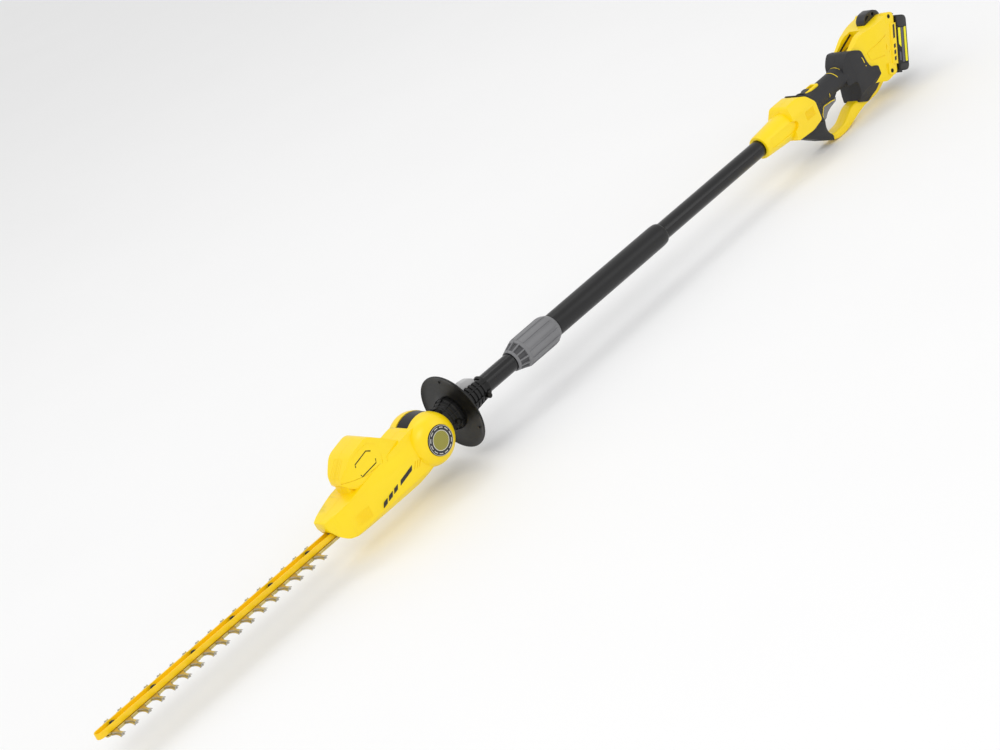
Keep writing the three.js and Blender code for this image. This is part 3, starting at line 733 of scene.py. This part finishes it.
boss = rod("y", (722, -25.6, -6), 4.6, 6, 32, 0.6)
neck_screw = screw("y", (722, -28.8, -6), 3.3, -1)
dressed(knuckle, "knuckle_moulding", "front_pole", black_plastic, "pivot_knuckle")
dressed(ribs, "neck_ribs", "front_pole", black_plastic)
dressed(joined(boss, neck_screw), "neck_screw", "front_pole", black_oxide, slot="dark_steel")
pin = rod("y", (pivot_x, 0, 0), 5, 76, 48, 0.8)
dressed(pin, "pivot_pin", "front_pole", black_oxide, "pivot_bolt", slot="dark_steel")

# ---- Guard ----
# A thin dished disc of tough black plastic keeps cuttings off the hands. Its rim is rolled forward, and
# small pips on its face show where it is riveted to the neck.
guard_x = reach("guard_disc", 0)[0] + 1
dish = lathe([(guard_x, 5), (guard_x, 29, 3), (guard_x + 1.4, 34, 4), (guard_x + 1.6, 57, 6),
              (guard_x - 0.7, 62.6, 0.5), (guard_x - 0.4, 63.2, 0.5), (guard_x + 2.0, 63.1, 0.5),
              (guard_x + 4.3, 57.5, 6), (guard_x + 4.2, 34, 4), (guard_x + 3.2, 29, 3),
              (guard_x + 3.2, 5)], sides=128)
carve(dish, rod("x", (guard_x, 0, 20.5), 2.6, 20))
pip = lathe([(guard_x - 0.2, 0), (guard_x + 0.1, 1.8), (guard_x + 1.8, 2.2), (guard_x + 1.8, 0)], "x",
            (0, 0, 52), 20)
pips = repeated(pip, 3, turn=(120, 0, 0))
dressed(joined(dish, pips), "guard_dish", "front_pole", black_plastic, "guard_disc")

# ---- Coupler ----
# Two black half shells clamp the front tube behind the guard. Rings and long ribs stiffen them, and a
# screw boss stands out near each end.
RINGS, RING_PITCH, RING_WIDTH, GROOVE_DEPTH = 7, 8.2, 3.6, 2.4
grooved = [(740, 15.4), (740, 22.6)]
for i in range(RINGS):
    x = 744 + i * RING_PITCH
    r = 22.9 - 0.055 * (x - 744) - 0.0006 * (x - 744) ** 2
    grooved += [(x, r), (x + RING_WIDTH, r), (x + 4.2, r - GROOVE_DEPTH), (x + 7.4, r - GROOVE_DEPTH)]
grooved += [(806, 18.2), (806, 15.4)]
clamp = lathe(grooved, sides=96)
carve(clamp, block((752, 802), (-6.4, 6.4), (14, 32)))
dressed_halves(clamp, "coupler_moulding", "front_pole", black_plastic, "coupler")
spine = plate([(741, 18), (741, 23), (772, 22.6), (792, 20), (805, 18.8), (805, 16)], -0.8, 0.8)
spines = repeated(spine, 7, turn=(360 / 7, 0, 0))
carve(spines, block((740, 810), (-7, 7), (10, 40)))
dressed(spines, "coupler_ribs", "front_pole", black_plastic)
clamp_screws = []
for x in (752, 796):
    clamp_screws += [rod("y", (x, -19.5, -9), 4.2, 7, 28, 0.5), screw("y", (x, -23, -9), 2.9, -1)]
dressed(joined(*clamp_screws), "coupler_screws", "front_pole", black_oxide, slot="dark_steel")

# ---- Pivot release ----
# A pale thumb slider on top of the coupler pulls back the steel pin that locks the head's angle. Its
# back is stepped for the thumb.
pale_grey = moulded("pale_grey", colour(168, 168, 168), colour(190, 190, 190), 0.34, 1500, 0.00005)
slide_side = [(757, 17.4), (757, 28.5, 2), (768, 31, 4), (784, 28.5, 3), (793, 23, 2), (793, 17.4)]
thumb = plate(slide_side, -6, 6, edge=1.2)
grip_cut = plate([(760, 33), (761, 30.4), (762, 30.4), (763, 33)], -4.6, 4.6)
carve(thumb, repeated(grip_cut, 5, step=(3.4, 0, 0)))
dressed(thumb, "pivot_release_thumb", "pivot_release", pale_grey, "pivot_release_slider", slot="grey_plastic")

# ---- Tubes ----
# Both pole sections are drawn aluminium tubes of one size, coated in gloss black. They meet end to end
# inside the sleeve.
gloss_coat = {"Specular IOR Level": 0.32, "Coat Weight": 0.25, "Coat Roughness": 0.12}
tube_black = grained("tube_black", colour(15, 15, 16), colour(22, 22, 23), (0.2, 0.1),
                     (700, 3, (0.02, 1, 1)), (30, 3), 0.00002, **gloss_coat)
for tube_name, body in (("front_tube", "front_pole"), ("rear_tube", "handle")):
    start, end = reach(tube_name, 0)
    outer = reach(tube_name, 2)[1]
    drawn_tube = lathe([(start, 13.4), (start, outer - 0.4), (start + 0.4, outer), (end - 0.4, outer),
                        (end, outer - 0.4), (end, 13.4)], sides=96)
    dressed(drawn_tube, tube_name + "_drawn", body, tube_black, tube_name, slot="black_tube")

# ---- Collar ----
# The grey nut turns by hand to close the split collet on the front tube. Broad raised bars run along its
# barrel, and the hollows between the fins of its nose show its throat, painted a darker grey as shade.
grey_plastic = moulded("grey_plastic", colour(112, 112, 114), colour(126, 126, 128), 0.4, 1500, 0.00006)
# The throat's darker grey is painted shade for the hollows inside the nose.
throat_painted_shade = moulded("throat_painted_shade", colour(66, 66, 68), colour(80, 80, 82), 0.5, 1500, 0.00006)
barrel = lathe([(892, 18.9), (892, 23.2, 1), (896, 24.4, 1), (958, 24.6, 4), (967, 23.4, 4),
                (972, 20.4, 1), (972, 18.9)], sides=120)
mouth_ring = lathe([(873, 15.8), (873, 17.2, 0.6), (877.5, 18.6, 0.6), (877.5, 15.8)], sides=96)
inner_cone = lathe([(875, 15.8), (875, 16.4), (894, 20.8), (894, 18.9), (890, 18.9)], sides=72)
bar_side = [(896, 23.6), (897.5, 25.4, 1), (957, 25.7, 3), (964, 24.4, 2), (966, 23)]
grip_bar = plate(bar_side, -4.4, 4.4)
round_edges(grip_bar, 0.5, 2)
grip_bars = repeated(grip_bar, 12, turn=(30, 0, 0))
fin = plate([(874, 16.2), (874, 17.6), (893, 24), (896, 24), (896, 19)], -1.1, 1.1)
fins = repeated(fin, 12, turn=(30, 0, 0))
dressed(barrel, "collar_barrel", "collar", grey_plastic, "collar_nut")
dressed(joined(mouth_ring, fins), "collar_nose", "collar", grey_plastic)
dressed(grip_bars, "collar_bars", "collar", grey_plastic)
dressed(inner_cone, "collar_throat", "collar", throat_painted_shade, slot="grey_plastic")

# ---- Sleeve ----
# A moulded sleeve with a soft black skin is the forward grip and joins the two tubes. It is fixed on the
# rear one, and the front one plugs into it.
skin_black = grained("foam_black", colour(18, 18, 19), colour(27, 27, 28), (0.26, 0.12), (2600, 3),
                     (22, 3, (0.4, 1, 1)), 0.00006, **{"Specular IOR Level": 0.42})
sleeve_start, sleeve_end = reach("pole_sleeve", 0)
sleeve = lathe([(sleeve_start, 15.3), (sleeve_start, 18.6, 0.8), (sleeve_start + 1.6, 19.5, 0.8),
                (1100, 19.7), (1243, 19.6, 5), (1252, 18.6, 3), (sleeve_end, 15.9, 0.5),
                (sleeve_end, 15.3)], sides=96)
dressed(sleeve, "foam_sleeve", "handle", skin_black, "pole_sleeve", slot="black_rubber")

# ---- Handle mouldings ----
# Two yellow half shells screwed on the middle plane carry everything at the rear: a round nose clamps the
# tube, a hand block stops the palm, a core runs under the grip, and a closed loop guards the fingers.


def copy_of(obj):
    """A second object with a mesh of its own."""
    twin = bpy.data.objects.new(obj.name, obj.data.copy())
    bpy.context.collection.objects.link(twin)
    return twin


nose = lathe([(1530, 15.4), (1530, 20.2, 1), (1534, 21.3, 2), (1560, 22.9, 20), (1590, 25.3, 10),
              (1612, 26, 2), (1612, 15.4)], sides=120)
block_side = [(1597, -25, 3), (1600, 10, 4), (1606, 35, 5), (1640, 36, 6), (1656, 29, 5), (1668, 12, 4),
              (1668, -22, 4), (1640, -28, 6)]
handle = plate(block_side, -28, 28)
block_section = both_sides([(-28, -40, 2), (-28, 14, 4), (-19, 37, 8)], flip=0)
carve(handle, plate(block_section, 1590, 1672, axis="x"), by="INTERSECT")
round_edges(handle, 2.6, 4, 24)
core = rod("x", (1724, 0, 5), 15.6, 124, 64)
loop_outline = [(1684, -60, 2), (1682, -69, 2), (1691, -75.5, 3), (1706, -82, 8), (1734, -82, 12),
                (1793, -66, 20), (1843, -65, 12), (1868, -54, 6), (1880, -40), (1880, 0), (1812, 0),
                (1810, -44, 6), (1784, -49, 8), (1764, -50, 10), (1734, -66, 8), (1703, -68, 6)]
loop = plate(loop_outline, -12.5, 12.5, edge=3.6, steps=3)
rear_side = [(1776, -8), (1776, 30, 4), (1786, 40, 6), (1806, 37.5, 4), (1834, 51, 8), (1862, 51.5, 6),
             (1908, 55, 3), (1921, 51), (1877, -45, 4), (1856, -51, 6), (1836, -42, 6), (1812, -38),
             (1812, -8)]
rear_plan = both_sides([(1770, -17, 2), (1806, -19.5, 10), (1838, -23, 10), (1866, -33, 8),
                        (1880, -34.5, 4), (1960, -34.5)])
rear = plate(rear_side, -40, 40)
carve(rear, plate(rear_plan, -90, 90, axis="z"), by="INTERSECT")
round_edges(rear, 2.4, 3, 24)
inner_rear = [(x, y * 0.972) + tuple(rest) for x, y, *rest in rear_plan]
emboss = [(1886, 25), (1839, 16), (1837, 13), (1839, 1), (1843, -1.5), (1868, -6)]
vents = ([(1879.5, 9), (1876, 2)], [(1866, -20), (1862, -28)], [(1881, -3.6), (1880, -5.6)])
marks = [plate(stroke(emboss, 1.0), -50, 50)] + [plate(stroke(points, 1.3), -50, 50) for points in vents]
skin_cut = plate(inner_rear, -120, 120, axis="z")
carve(skin_cut, block((1950, 2010), (-60, 60), (-120, 120)), by="UNION")
for mark in marks:
    carve(mark, copy_of(skin_cut))
    carve(rear, mark)
bpy.data.objects.remove(skin_cut)
carve(handle, nose, core, loop, rear, by="UNION")
tube_bore = rod("x", (1566, 0, 0), 15.3, 84, 64)
hand_room = block((1612, 1660), (-22, 22), (-19, 24))
grip_bore = rod("x", (1724, 0, 5), 13, 160, 48)
trigger_room = block((1667, 1743.5), (-8.6, 8.6), (-43, 1.5))
lock_room = block((1673, 1701), (-5.6, 5.6), (8, 30))
middle_room = block((1800, 1857), (-15, 15), (-40, 22))
pocket = plate([(1806, 24, 3), (1852, 28, 6), (1856, 60), (1800, 60)], -9, 13.5)
carve(handle, tube_bore, hand_room, grip_bore, trigger_room, lock_room, middle_room, pocket)
PANEL_SLOPE = 0.058
panel_start = TIP + 1537 * MM
for side in (-1, 1):
    panel = plate([(1540, -7.5, 6), (1540, 9.5, 6), (1604, 11, 9), (1613, 3, 6), (1604, -7.5, 9)],
                  *span(side, 19.3, 40))
    for corner in panel.data.vertices:
        corner.co.y += side * PANEL_SLOPE * (corner.co.x - panel_start)
    carve(handle, panel)
    rib_gap = block((1634, 1634.9), span(side, 27.4, 40), (-7, 9))
    carve(handle, repeated(rib_gap, 12, step=(2.1, 0, 0)))


PACK = {"x": 1904, "z": -1, "lean": 24.5}


def on_pack(obj):
    """Leans a shape made upright, x out of the rear face and z up along it, into the battery's place."""
    lean = Matrix.Rotation(math.radians(PACK["lean"]), 4, "Y")
    seat = Matrix.Translation(place(PACK["x"], 0, PACK["z"])) @ lean
    obj.data.transform(seat @ Matrix.Translation(-place(0, 0, 0)))
    return obj


seat_room = on_pack(block((-6.6, 1.2), (-24.5, 24.5), (-38.5, 38.5)))
carve(handle, seat_room)
dressed_halves(handle, "handle_moulding", "handle", yellow_plastic, "handle_shell")

# ---- Pocket painted shade ----
# The pocket on top of the housing gets a floor insert in dark olive that is painted shade, and a dark
# strip along its far wall that is painted shadow under its overhanging rim.
# A dark olive that is painted shade for the depth of the pocket.
painted_olive_shade = moulded("painted_olive_shade", colour(128, 108, 6), colour(150, 126, 10), 0.5, 900, 0.00005)
floor = plate([(1808.5, 25), (1808.5, 29), (1838, 31), (1838, 28)], -8.9, 13.4)
# A dark strip on the far wall is painted shadow under the rim above it.
slot_shadow_line = plate(stroke([(1812, 33), (1826, 38), (1853, 46.5)], 3.2), 12.3, 13.4)
dressed(floor, "pocket_floor_shade", "handle", painted_olive_shade, slot="yellow_plastic")
dressed(slot_shadow_line, "pocket_slot_shadow", "handle", painted_recess_shade, slot="black_plastic")

# ---- Battery flange ----
# The shells end in a raised flange with a lug at each corner. Dark screws through the lugs clamp the
# battery's contacts and rails, and dark bars are printed down the flange's sides.
flange = plate([(-13.5, -37, 3), (-13.5, 37, 3), (-0.3, 37, 1), (-0.3, -37, 1)], -36, 36, axis="z")
for way in (-1, 1):
    lug = plate([(-25, way * 34, 3), (-24, way * 54.5, 5), (-8, way * 55.5, 5), (-2.5, way * 49, 3),
                 (-2.5, way * 34, 2)], -34.9, 34.9)
    round_edges(lug, 1.8, 3)
    carve(flange, lug, by="UNION")
carve(flange, block((-24, 5), (-31, 31), (-40, 46)), block((-30, 0), (-20, 20), (40, 70)))
round_edges(flange, 0.6, 2, 40)
dressed(on_pack(flange), "battery_flange", "handle", yellow_plastic)
flange_screws = [screw("y", (-16.5, side * 35.1, z), 3.7, side) for side in (-1, 1) for z in (-47.5, 47.5)]
dressed(on_pack(joined(*flange_screws)), "flange_screws", "handle", black_oxide, slot="dark_steel")
flange_print = []
for side in (-1, 1):
    deep = span(side, 36, 37.12)
    for low, high in ((8, 32), (-31, -24), (-20, -13), (-9, -2)):
        slanted = [(-9.5, low), (-9.5, high), (-4.5, high + 2), (-4.5, low + 2)]
        flange_print.append(plate(slanted, *deep, corner=0.8))
dressed(on_pack(joined(*flange_print)), "flange_print", "handle", print_black, slot="black_plastic")

# ---- Grip rubber ----
# Soft rubber is moulded round the core of the handle. It rises in an arch behind the hand block and is
# cut away below for the trigger and above for the lock's surround.
soft_rubber = moulded("soft_rubber", colour(40, 40, 42), colour(50, 50, 52), 0.56, 2200, 0.00012,
                      **{"Specular IOR Level": 0.4})
arch_side = [(1650, 34.6, 1), (1659, 31, 4), (1671.4, 14.5, 3), (1672.4, -27, 2), (1668.4, -28),
             (1668.4, 12), (1656, 29), (1650, 32)]
arch = plate(arch_side, -28, 28)
arch_section = both_sides([(-27.3, -40), (-27.3, 14, 4), (-19.5, 36, 9)], flip=0)
carve(arch, plate(arch_section, 1640, 1690, axis="x"), by="INTERSECT")
round_edges(arch, 0.8, 3)
skirt_side = [(1668.8, 4), (1668.8, -31, 2), (1684, -34, 3), (1688, -25, 4), (1699, -12.8, 5),
              (1722, -14.8, 3), (1731, -16.8, 2), (1741.5, -10.8, 3), (1747, -3, 4), (1752, 4)]
skirt = plate(skirt_side, -12.3, 12.3)
round_edges(skirt, 1.4, 3)
sleeve_profile = [(1668.8, 15.9), (1668.8, 24, 1), (1676, 22, 6), (1692, 18.6, 10), (1730, 18.2, 20),
                  (1758, 18.4, 10), (1777, 21.5, 3), (1777, 15.9)]
grip = lathe(sleeve_profile, "x", (0, 0, 5), 96)
carve(grip, arch, skirt, by="UNION")
carve(grip, block((1650, 1743.5), (-9, 9), (-46, 1)), block((1674, 1711.6), (-8.6, 8.6), (17, 44)),
      rod("x", (1660, 0, 5), 15.9, 60, 64))
dressed(grip, "grip_overmould", "handle", soft_rubber, "grip_rubber", slot="black_rubber")


def bridged(name, bm, rows):
    """A closed body through rows of corners, with a face over each end."""
    count = len(rows[0])
    for row, following in zip(rows, rows[1:]):
        for j in range(count):
            k = (j + 1) % count
            bm.faces.new((row[j], row[k], following[k], following[j]))
    bm.faces.new(rows[0])
    bm.faces.new(rows[-1])
    return as_object(name, bm)


def arc_band(x, radius, start, end, width, thick, lift, steps=24):
    """A thin raised band that runs part of the way round the grip."""
    bm = bmesh.new()
    rows = []
    for i in range(steps + 1):
        angle = math.radians(start + (end - start) * i / steps)
        slip = lift * i / steps
        row = []
        for dx, r in ((0, radius - 0.5), (0, radius + thick), (width, radius + thick), (width, radius - 0.5)):
            row.append(bm.verts.new(place(x + dx + slip, -r * math.sin(angle), 5 + r * math.cos(angle))))
        rows.append(row)
    return bridged("band", bm, rows)


trim = [arc_band(1750, 18.45, -10, 62, 1.3, 0.25, 2.5), arc_band(1767, 19.9, -18, 70, 1.3, 0.3, 2.5)]
guide = [(1688.4, -32), (1690.4, -25), (1699.5, -14.4), (1722, -16.2), (1730.5, -18)]
for side in (-1, 1):
    trim.append(plate(stroke(guide, 1.3), *span(side, 9.2, 12.0)))
    trim.append(arc_band(1717, 18.3, side * 103, side * 131, 1.3, 0.3, 2.5))
dressed(joined(*trim), "grip_trim", "handle", yellow_plastic)

# ---- Front leg rubber ----
# The rubber runs on down the front leg of the loop as a wedge, in two halves that meet on the middle
# plane.
leg_side = [(1612, -27.5, 2), (1640, -28.4, 3), (1668, -28, 2), (1684, -24, 4), (1687, -34, 4),
            (1683, -46, 5), (1684.5, -57, 5), (1693, -66.5, 3), (1691, -76, 2), (1675, -67.5, 4)]
leg = plate(leg_side, -15.5, 15.5)
carve(leg, block((1667, 1700), (-8.8, 8.8), (-44, -10)))
round_edges(leg, 2.2, 3)
dressed_halves(leg, "leg_overmould", "handle", soft_rubber, "leg_rubber", slot="black_rubber")

# ---- Bell rubber ----
# Where the grip meets the housing the rubber swells into a bell that stops the hand, and its two cheeks
# run down the rear leg of the loop.
bell_side = [(1768, -13, 4), (1768, 22, 8), (1778, 34, 8), (1789, 42, 6), (1806, 37.5, 5), (1822, 28.5, 5),
             (1827, 2, 6), (1832, -9, 6), (1847, -13.5, 6), (1855.5, -23, 5), (1853, -37, 5),
             (1836, -55, 5), (1806, -63, 4), (1781, -51, 3), (1787, -41, 4), (1791, -25, 8), (1788, -13, 4)]
bell = plate(bell_side, -27, 27)
bell_plan = both_sides([(1764, -19, 8), (1782, -22, 10), (1800, -24.5, 12), (1838, -26.2), (1862, -32)])
taper = both_sides([(-29, 70), (-29, -27, 4), (-14.6, -58), (-14.6, -80)], flip=0)
carve(bell, plate(bell_plan, -80, 60, axis="z"), plate(taper, 1750, 1880, axis="x"), by="INTERSECT")
round_edges(bell, 4.2, 5, 24)
carve(bell, rod("x", (1760, 0, 5), 15.9, 60, 64), block((1805.5, 1870), (-19.3, 19.3), (-40, 60)),
      plate(loop_outline, -12.6, 12.6))
dressed_halves(bell, "bell_overmould", "handle", soft_rubber, "bell_rubber", slot="black_rubber")
bell_marks = []
for side in (-1, 1):
    bell_marks.append(plate(stroke([(1817.5, 17), (1819, 14), (1820, 5)], 1.5), *span(side, 24.2, 25.5)))
    bell_marks.append(rod("y", (1821, side * 24.9, -1), 1.0, 1.3, 20))
dressed(joined(*bell_marks), "bell_marks", "handle", yellow_plastic)

# ---- Trigger ----
# A grey finger trigger turns on a steel pin in the core. Its front is hollowed for one finger and its
# spring pushes it back down.
trigger_side = [(1669.5, -3), (1669.5, -12, 3), (1680, -20, 4), (1688, -33, 3), (1690, -38, 2),
                (1699, -38.5, 3), (1709, -30, 8), (1724, -26, 10), (1738, -24, 3), (1741, -18, 2),
                (1738, -13.5, 2), (1720, -11), (1700, -9.5), (1684, -2.5, 3)]
lever = plate(trigger_side, -8, 8, edge=1.6, steps=4)
carve(lever, rod("y", (1675, 0, -7), 1.9, 30))
dressed(lever, "trigger_lever", "trigger", grey_plastic, "trigger")

# ---- Trigger spring ----
# A small coil of dark oxidised wire stands between the trigger's back and the roof of the trigger's room.
# It is drawn at its rest length; nothing here shortens it as the trigger is pulled.


def coil(x, low, high, radius, wire, turns, steps=24, sides=8):
    """A wire wound about an upright axis in the middle plane, with flat ends."""
    bm = bmesh.new()
    rings = []
    for i in range(turns * steps + 1):
        angle = 2 * math.pi * i / steps
        rise = low + wire + (high - low - 2 * wire) * i / (turns * steps)
        ring = []
        for j in range(sides):
            around = 2 * math.pi * j / sides
            out = radius + wire * math.cos(around)
            point = place(x + out * math.cos(angle), out * math.sin(angle), rise + wire * math.sin(around))
            ring.append(bm.verts.new(point))
        rings.append(ring)
    return bridged("coil", bm, rings)


SPRING_X, SPRING_TOP, SQUASHED_SHARE = 1730, 1.5, 0.5
spring = coil(SPRING_X, -11.3, SPRING_TOP, radius=2.45, wire=0.35, turns=6)
dressed(spring, "trigger_coil", "handle", black_oxide, "trigger_spring", slot="dark_steel")
place(SPRING_X, 0, SPRING_TOP)
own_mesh(spring)

# ---- Lock-off slider ----
# A small dark slider of moulded nylon in a yellow surround has to be pushed back before the trigger will
# move. The surround clips into the top of the core.
surround = block((1670, 1711), (-8.4, 8.4), (20.4, 26.2), 2.2, 3)
carve(surround, block((1674.5, 1704.5), (-5.4, 5.4), (10, 40)))
round_edges(surround, 0.5, 2)
dressed(surround, "lock_surround", "handle", yellow_plastic, "lock_bezel")
dark_grey = moulded("dark_grey", colour(66, 66, 68), colour(78, 78, 80), 0.45, 1500, 0.00005)
slider = plate([(1675, 15), (1675, 26, 1), (1678.5, 28.6, 2), (1688, 28, 2), (1690, 25.6, 1), (1690, 15)],
               -5, 5, edge=0.8)
notch = plate([(1679, 30), (1679.8, 27.4), (1680.6, 27.4), (1681.4, 30)], -4, 4)
carve(slider, repeated(notch, 3, step=(2.8, 0, 0)))
dressed(slider, "lock_slider_button", "lock_slider", dark_grey, "lock_off_slider", slot="grey_plastic")

# ---- Strap eye ----
# A folded bracket on top of the housing takes the hook of a shoulder strap. It is screwed down through
# its front foot.
eye = plate([(1872, 52.2), (1873, 60, 3), (1882, 68, 6), (1902, 68.5, 5), (1915, 61, 4), (1918.5, 52.4),
             (1908, 55.2), (1896, 52.4)], -9, 9)
eye_window = [(1877, 57), (1878, 62, 2), (1884, 66, 2), (1890, 62)]
carve(eye, rod("y", (1901, 0, 60.5), 3.4, 40, 48), plate(eye_window, -20, -6.5), plate(eye_window, 6.5, 20))
round_edges(eye, 0.9, 3)
eye_grey = moulded("eye_grey", colour(36, 36, 38), colour(50, 50, 52), 0.34, 900, 0.00006)
dressed(eye, "strap_bracket", "handle", eye_grey, "strap_eye", slot="grey_plastic")

# ---- Battery ----
# The pack is a black two-part case that slides up rails on the handle's rear face. Coloured bars run
# down both sides, ribs cross its back, and a grey latch at its top holds it.
case_side = [(0.5, -49, 3), (0.5, 49, 4), (24, 49, 8), (29, 43, 4), (29, -43, 4), (24, -49, 8)]


def battery_part(start, end):
    """The part of the case between two depths, with its room, its rail slots and the latch's seat."""
    shell = plate(case_side, -37.5, 37.5)
    round_edges(shell, 2.2, 4)
    carve(shell, block((start, end), (-60, 60), (-70, 70)), by="INTERSECT")
    carve(shell, block((6.4, 26), (-34.5, 34.5), (-46, 46)), block((-1, 3), (-16.4, 16.4), (-60, 38)),
          block((1.8, 4.4), (-20.4, 20.4), (-60, 38)), block((5.7, 19.9), (-17.4, 17.4), (46.4, 60)))
    return on_pack(shell)


dressed(battery_part(-5, 13.8), "pack_case_front", "battery", black_plastic, "battery_case_front")
dressed(battery_part(14.1, 60), "pack_case_back", "battery", black_plastic, "battery_case_back")
pack_yellow = moulded("pack_yellow", colour(236, 228, 0), colour(250, 240, 10), 0.4, 900, 0.00003)
pack_grey = moulded("pack_grey", colour(84, 84, 92), colour(98, 98, 106), 0.5, 900, 0.00004)
end_black = moulded("end_black", colour(38, 38, 39), colour(48, 48, 49), 0.5, 1300, 0.00006)
yellow_bars, grey_bars, end_caps = [], [], []
for side in (-1, 1):
    skin = span(side, 36.6, 37.9)
    yellow_bars.append(plate([(4, -2, 1), (4, 26.5, 1), (10.4, 26.5, 1), (10.4, -8, 1)], *skin))
    yellow_bars.append(plate([(19.8, -33, 1), (19.8, 26.5, 1), (25.4, 28.5, 1), (25.4, -33, 1)], *skin))
    grey_bars.append(plate([(11.6, -34, 1), (11.6, 26.5, 1), (17.6, 26.5, 1), (17.6, -34, 1)], *skin))
    grey_bars.append(plate([(4.5, -31, 1), (4.5, -15, 1), (8.5, -17, 1), (8.5, -31, 1)], *skin))
    proud = span(side, 36.4, 38.3)
    end_caps.append(plate([(1.5, 30, 4), (1.5, 47, 3), (23, 47, 5), (27.5, 43, 3), (27.5, 31, 6),
                           (14, 27.5, 8)], *proud))
    end_caps.append(plate([(3, -47, 3), (3, -38, 3), (14, -36, 6), (27, -38, 3), (27, -43, 3),
                           (23, -47.4, 4)], *proud))
dressed(on_pack(joined(*yellow_bars)), "pack_yellow_bars", "battery", pack_yellow, slot="yellow_plastic")
dressed(on_pack(joined(*grey_bars)), "pack_grey_bars", "battery", pack_grey, slot="grey_plastic")
caps = joined(*end_caps)
round_edges(caps, 0.6, 2)
dressed(on_pack(caps), "pack_end_caps", "battery", end_black, slot="black_plastic")
cooling = block((27.6, 29.9), (-30, 30), (-30, -28.4), 0.5)
ribs = repeated(cooling, 12, step=(0, 0, 5.2))
dressed(on_pack(ribs), "pack_ribs", "battery", black_plastic)
latch = block((6, 19.6), (-17, 17), (48.6, 53.6), 1.4, 3)
grip_line = block((8.5, 17), (-9.4, -8.4), (53.0, 55))
carve(latch, repeated(grip_line, 7, step=(0, 2.9, 0)))
dressed(on_pack(latch), "pack_latch", "battery_button", dark_grey, "battery_release_button",
        slot="grey_plastic")
foot = block((5, 23), (-26, 26), (-52.4, -48.4), 0.8)
dressed(on_pack(foot), "pack_foot", "battery", black_plastic)

# ---- Working parts inside ----
# Gears, motor, cells, board, wires and pins keep their engineered shapes and get the finish of cast or
# turned metal, shrink film and coated board.
cast_alloy = grained("cast_alloy", colour(138, 140, 144), colour(176, 178, 182), (0.42, 0.24), (1100, 4),
                     (1100, 4), 0.00012, Metallic=0.9)
motor_can = moulded("motor_can", colour(120, 116, 112), colour(146, 142, 138), 0.36, 500, 0.00004,
                    Metallic=0.8)
shrink_film = moulded("shrink_film", colour(38, 92, 150), colour(52, 108, 168), 0.28, 300, 0.00005)
board_green = moulded("board_green", colour(24, 84, 44), colour(34, 104, 56), 0.4, 600, 0.00004)
wire_black = moulded("wire_black", colour(26, 26, 27), colour(36, 36, 37), 0.5, 900, 0.00004)
inside = {
    cast_alloy: ("gear_case", "gear_case_cover", "bottom_plate", "drive_gear", "motor_pinion"),
    motor_can: ("motor",),
    shrink_film: tuple(f"battery_cell_{i}" for i in range(1, 6)),
    board_green: ("control_board",),
    wire_black: ("front_wire", "rear_wire", "connector_plug", "connector_socket", "switch_module",
                 "battery_shoe", "collet"),
    black_oxide: ("trigger_pin", "pivot_lock_pin"),
}
for material, nodes in inside.items():
    for node_name in nodes:
        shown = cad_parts[node_name]
        shown.data.materials.clear()
        shown.data.materials.append(material)
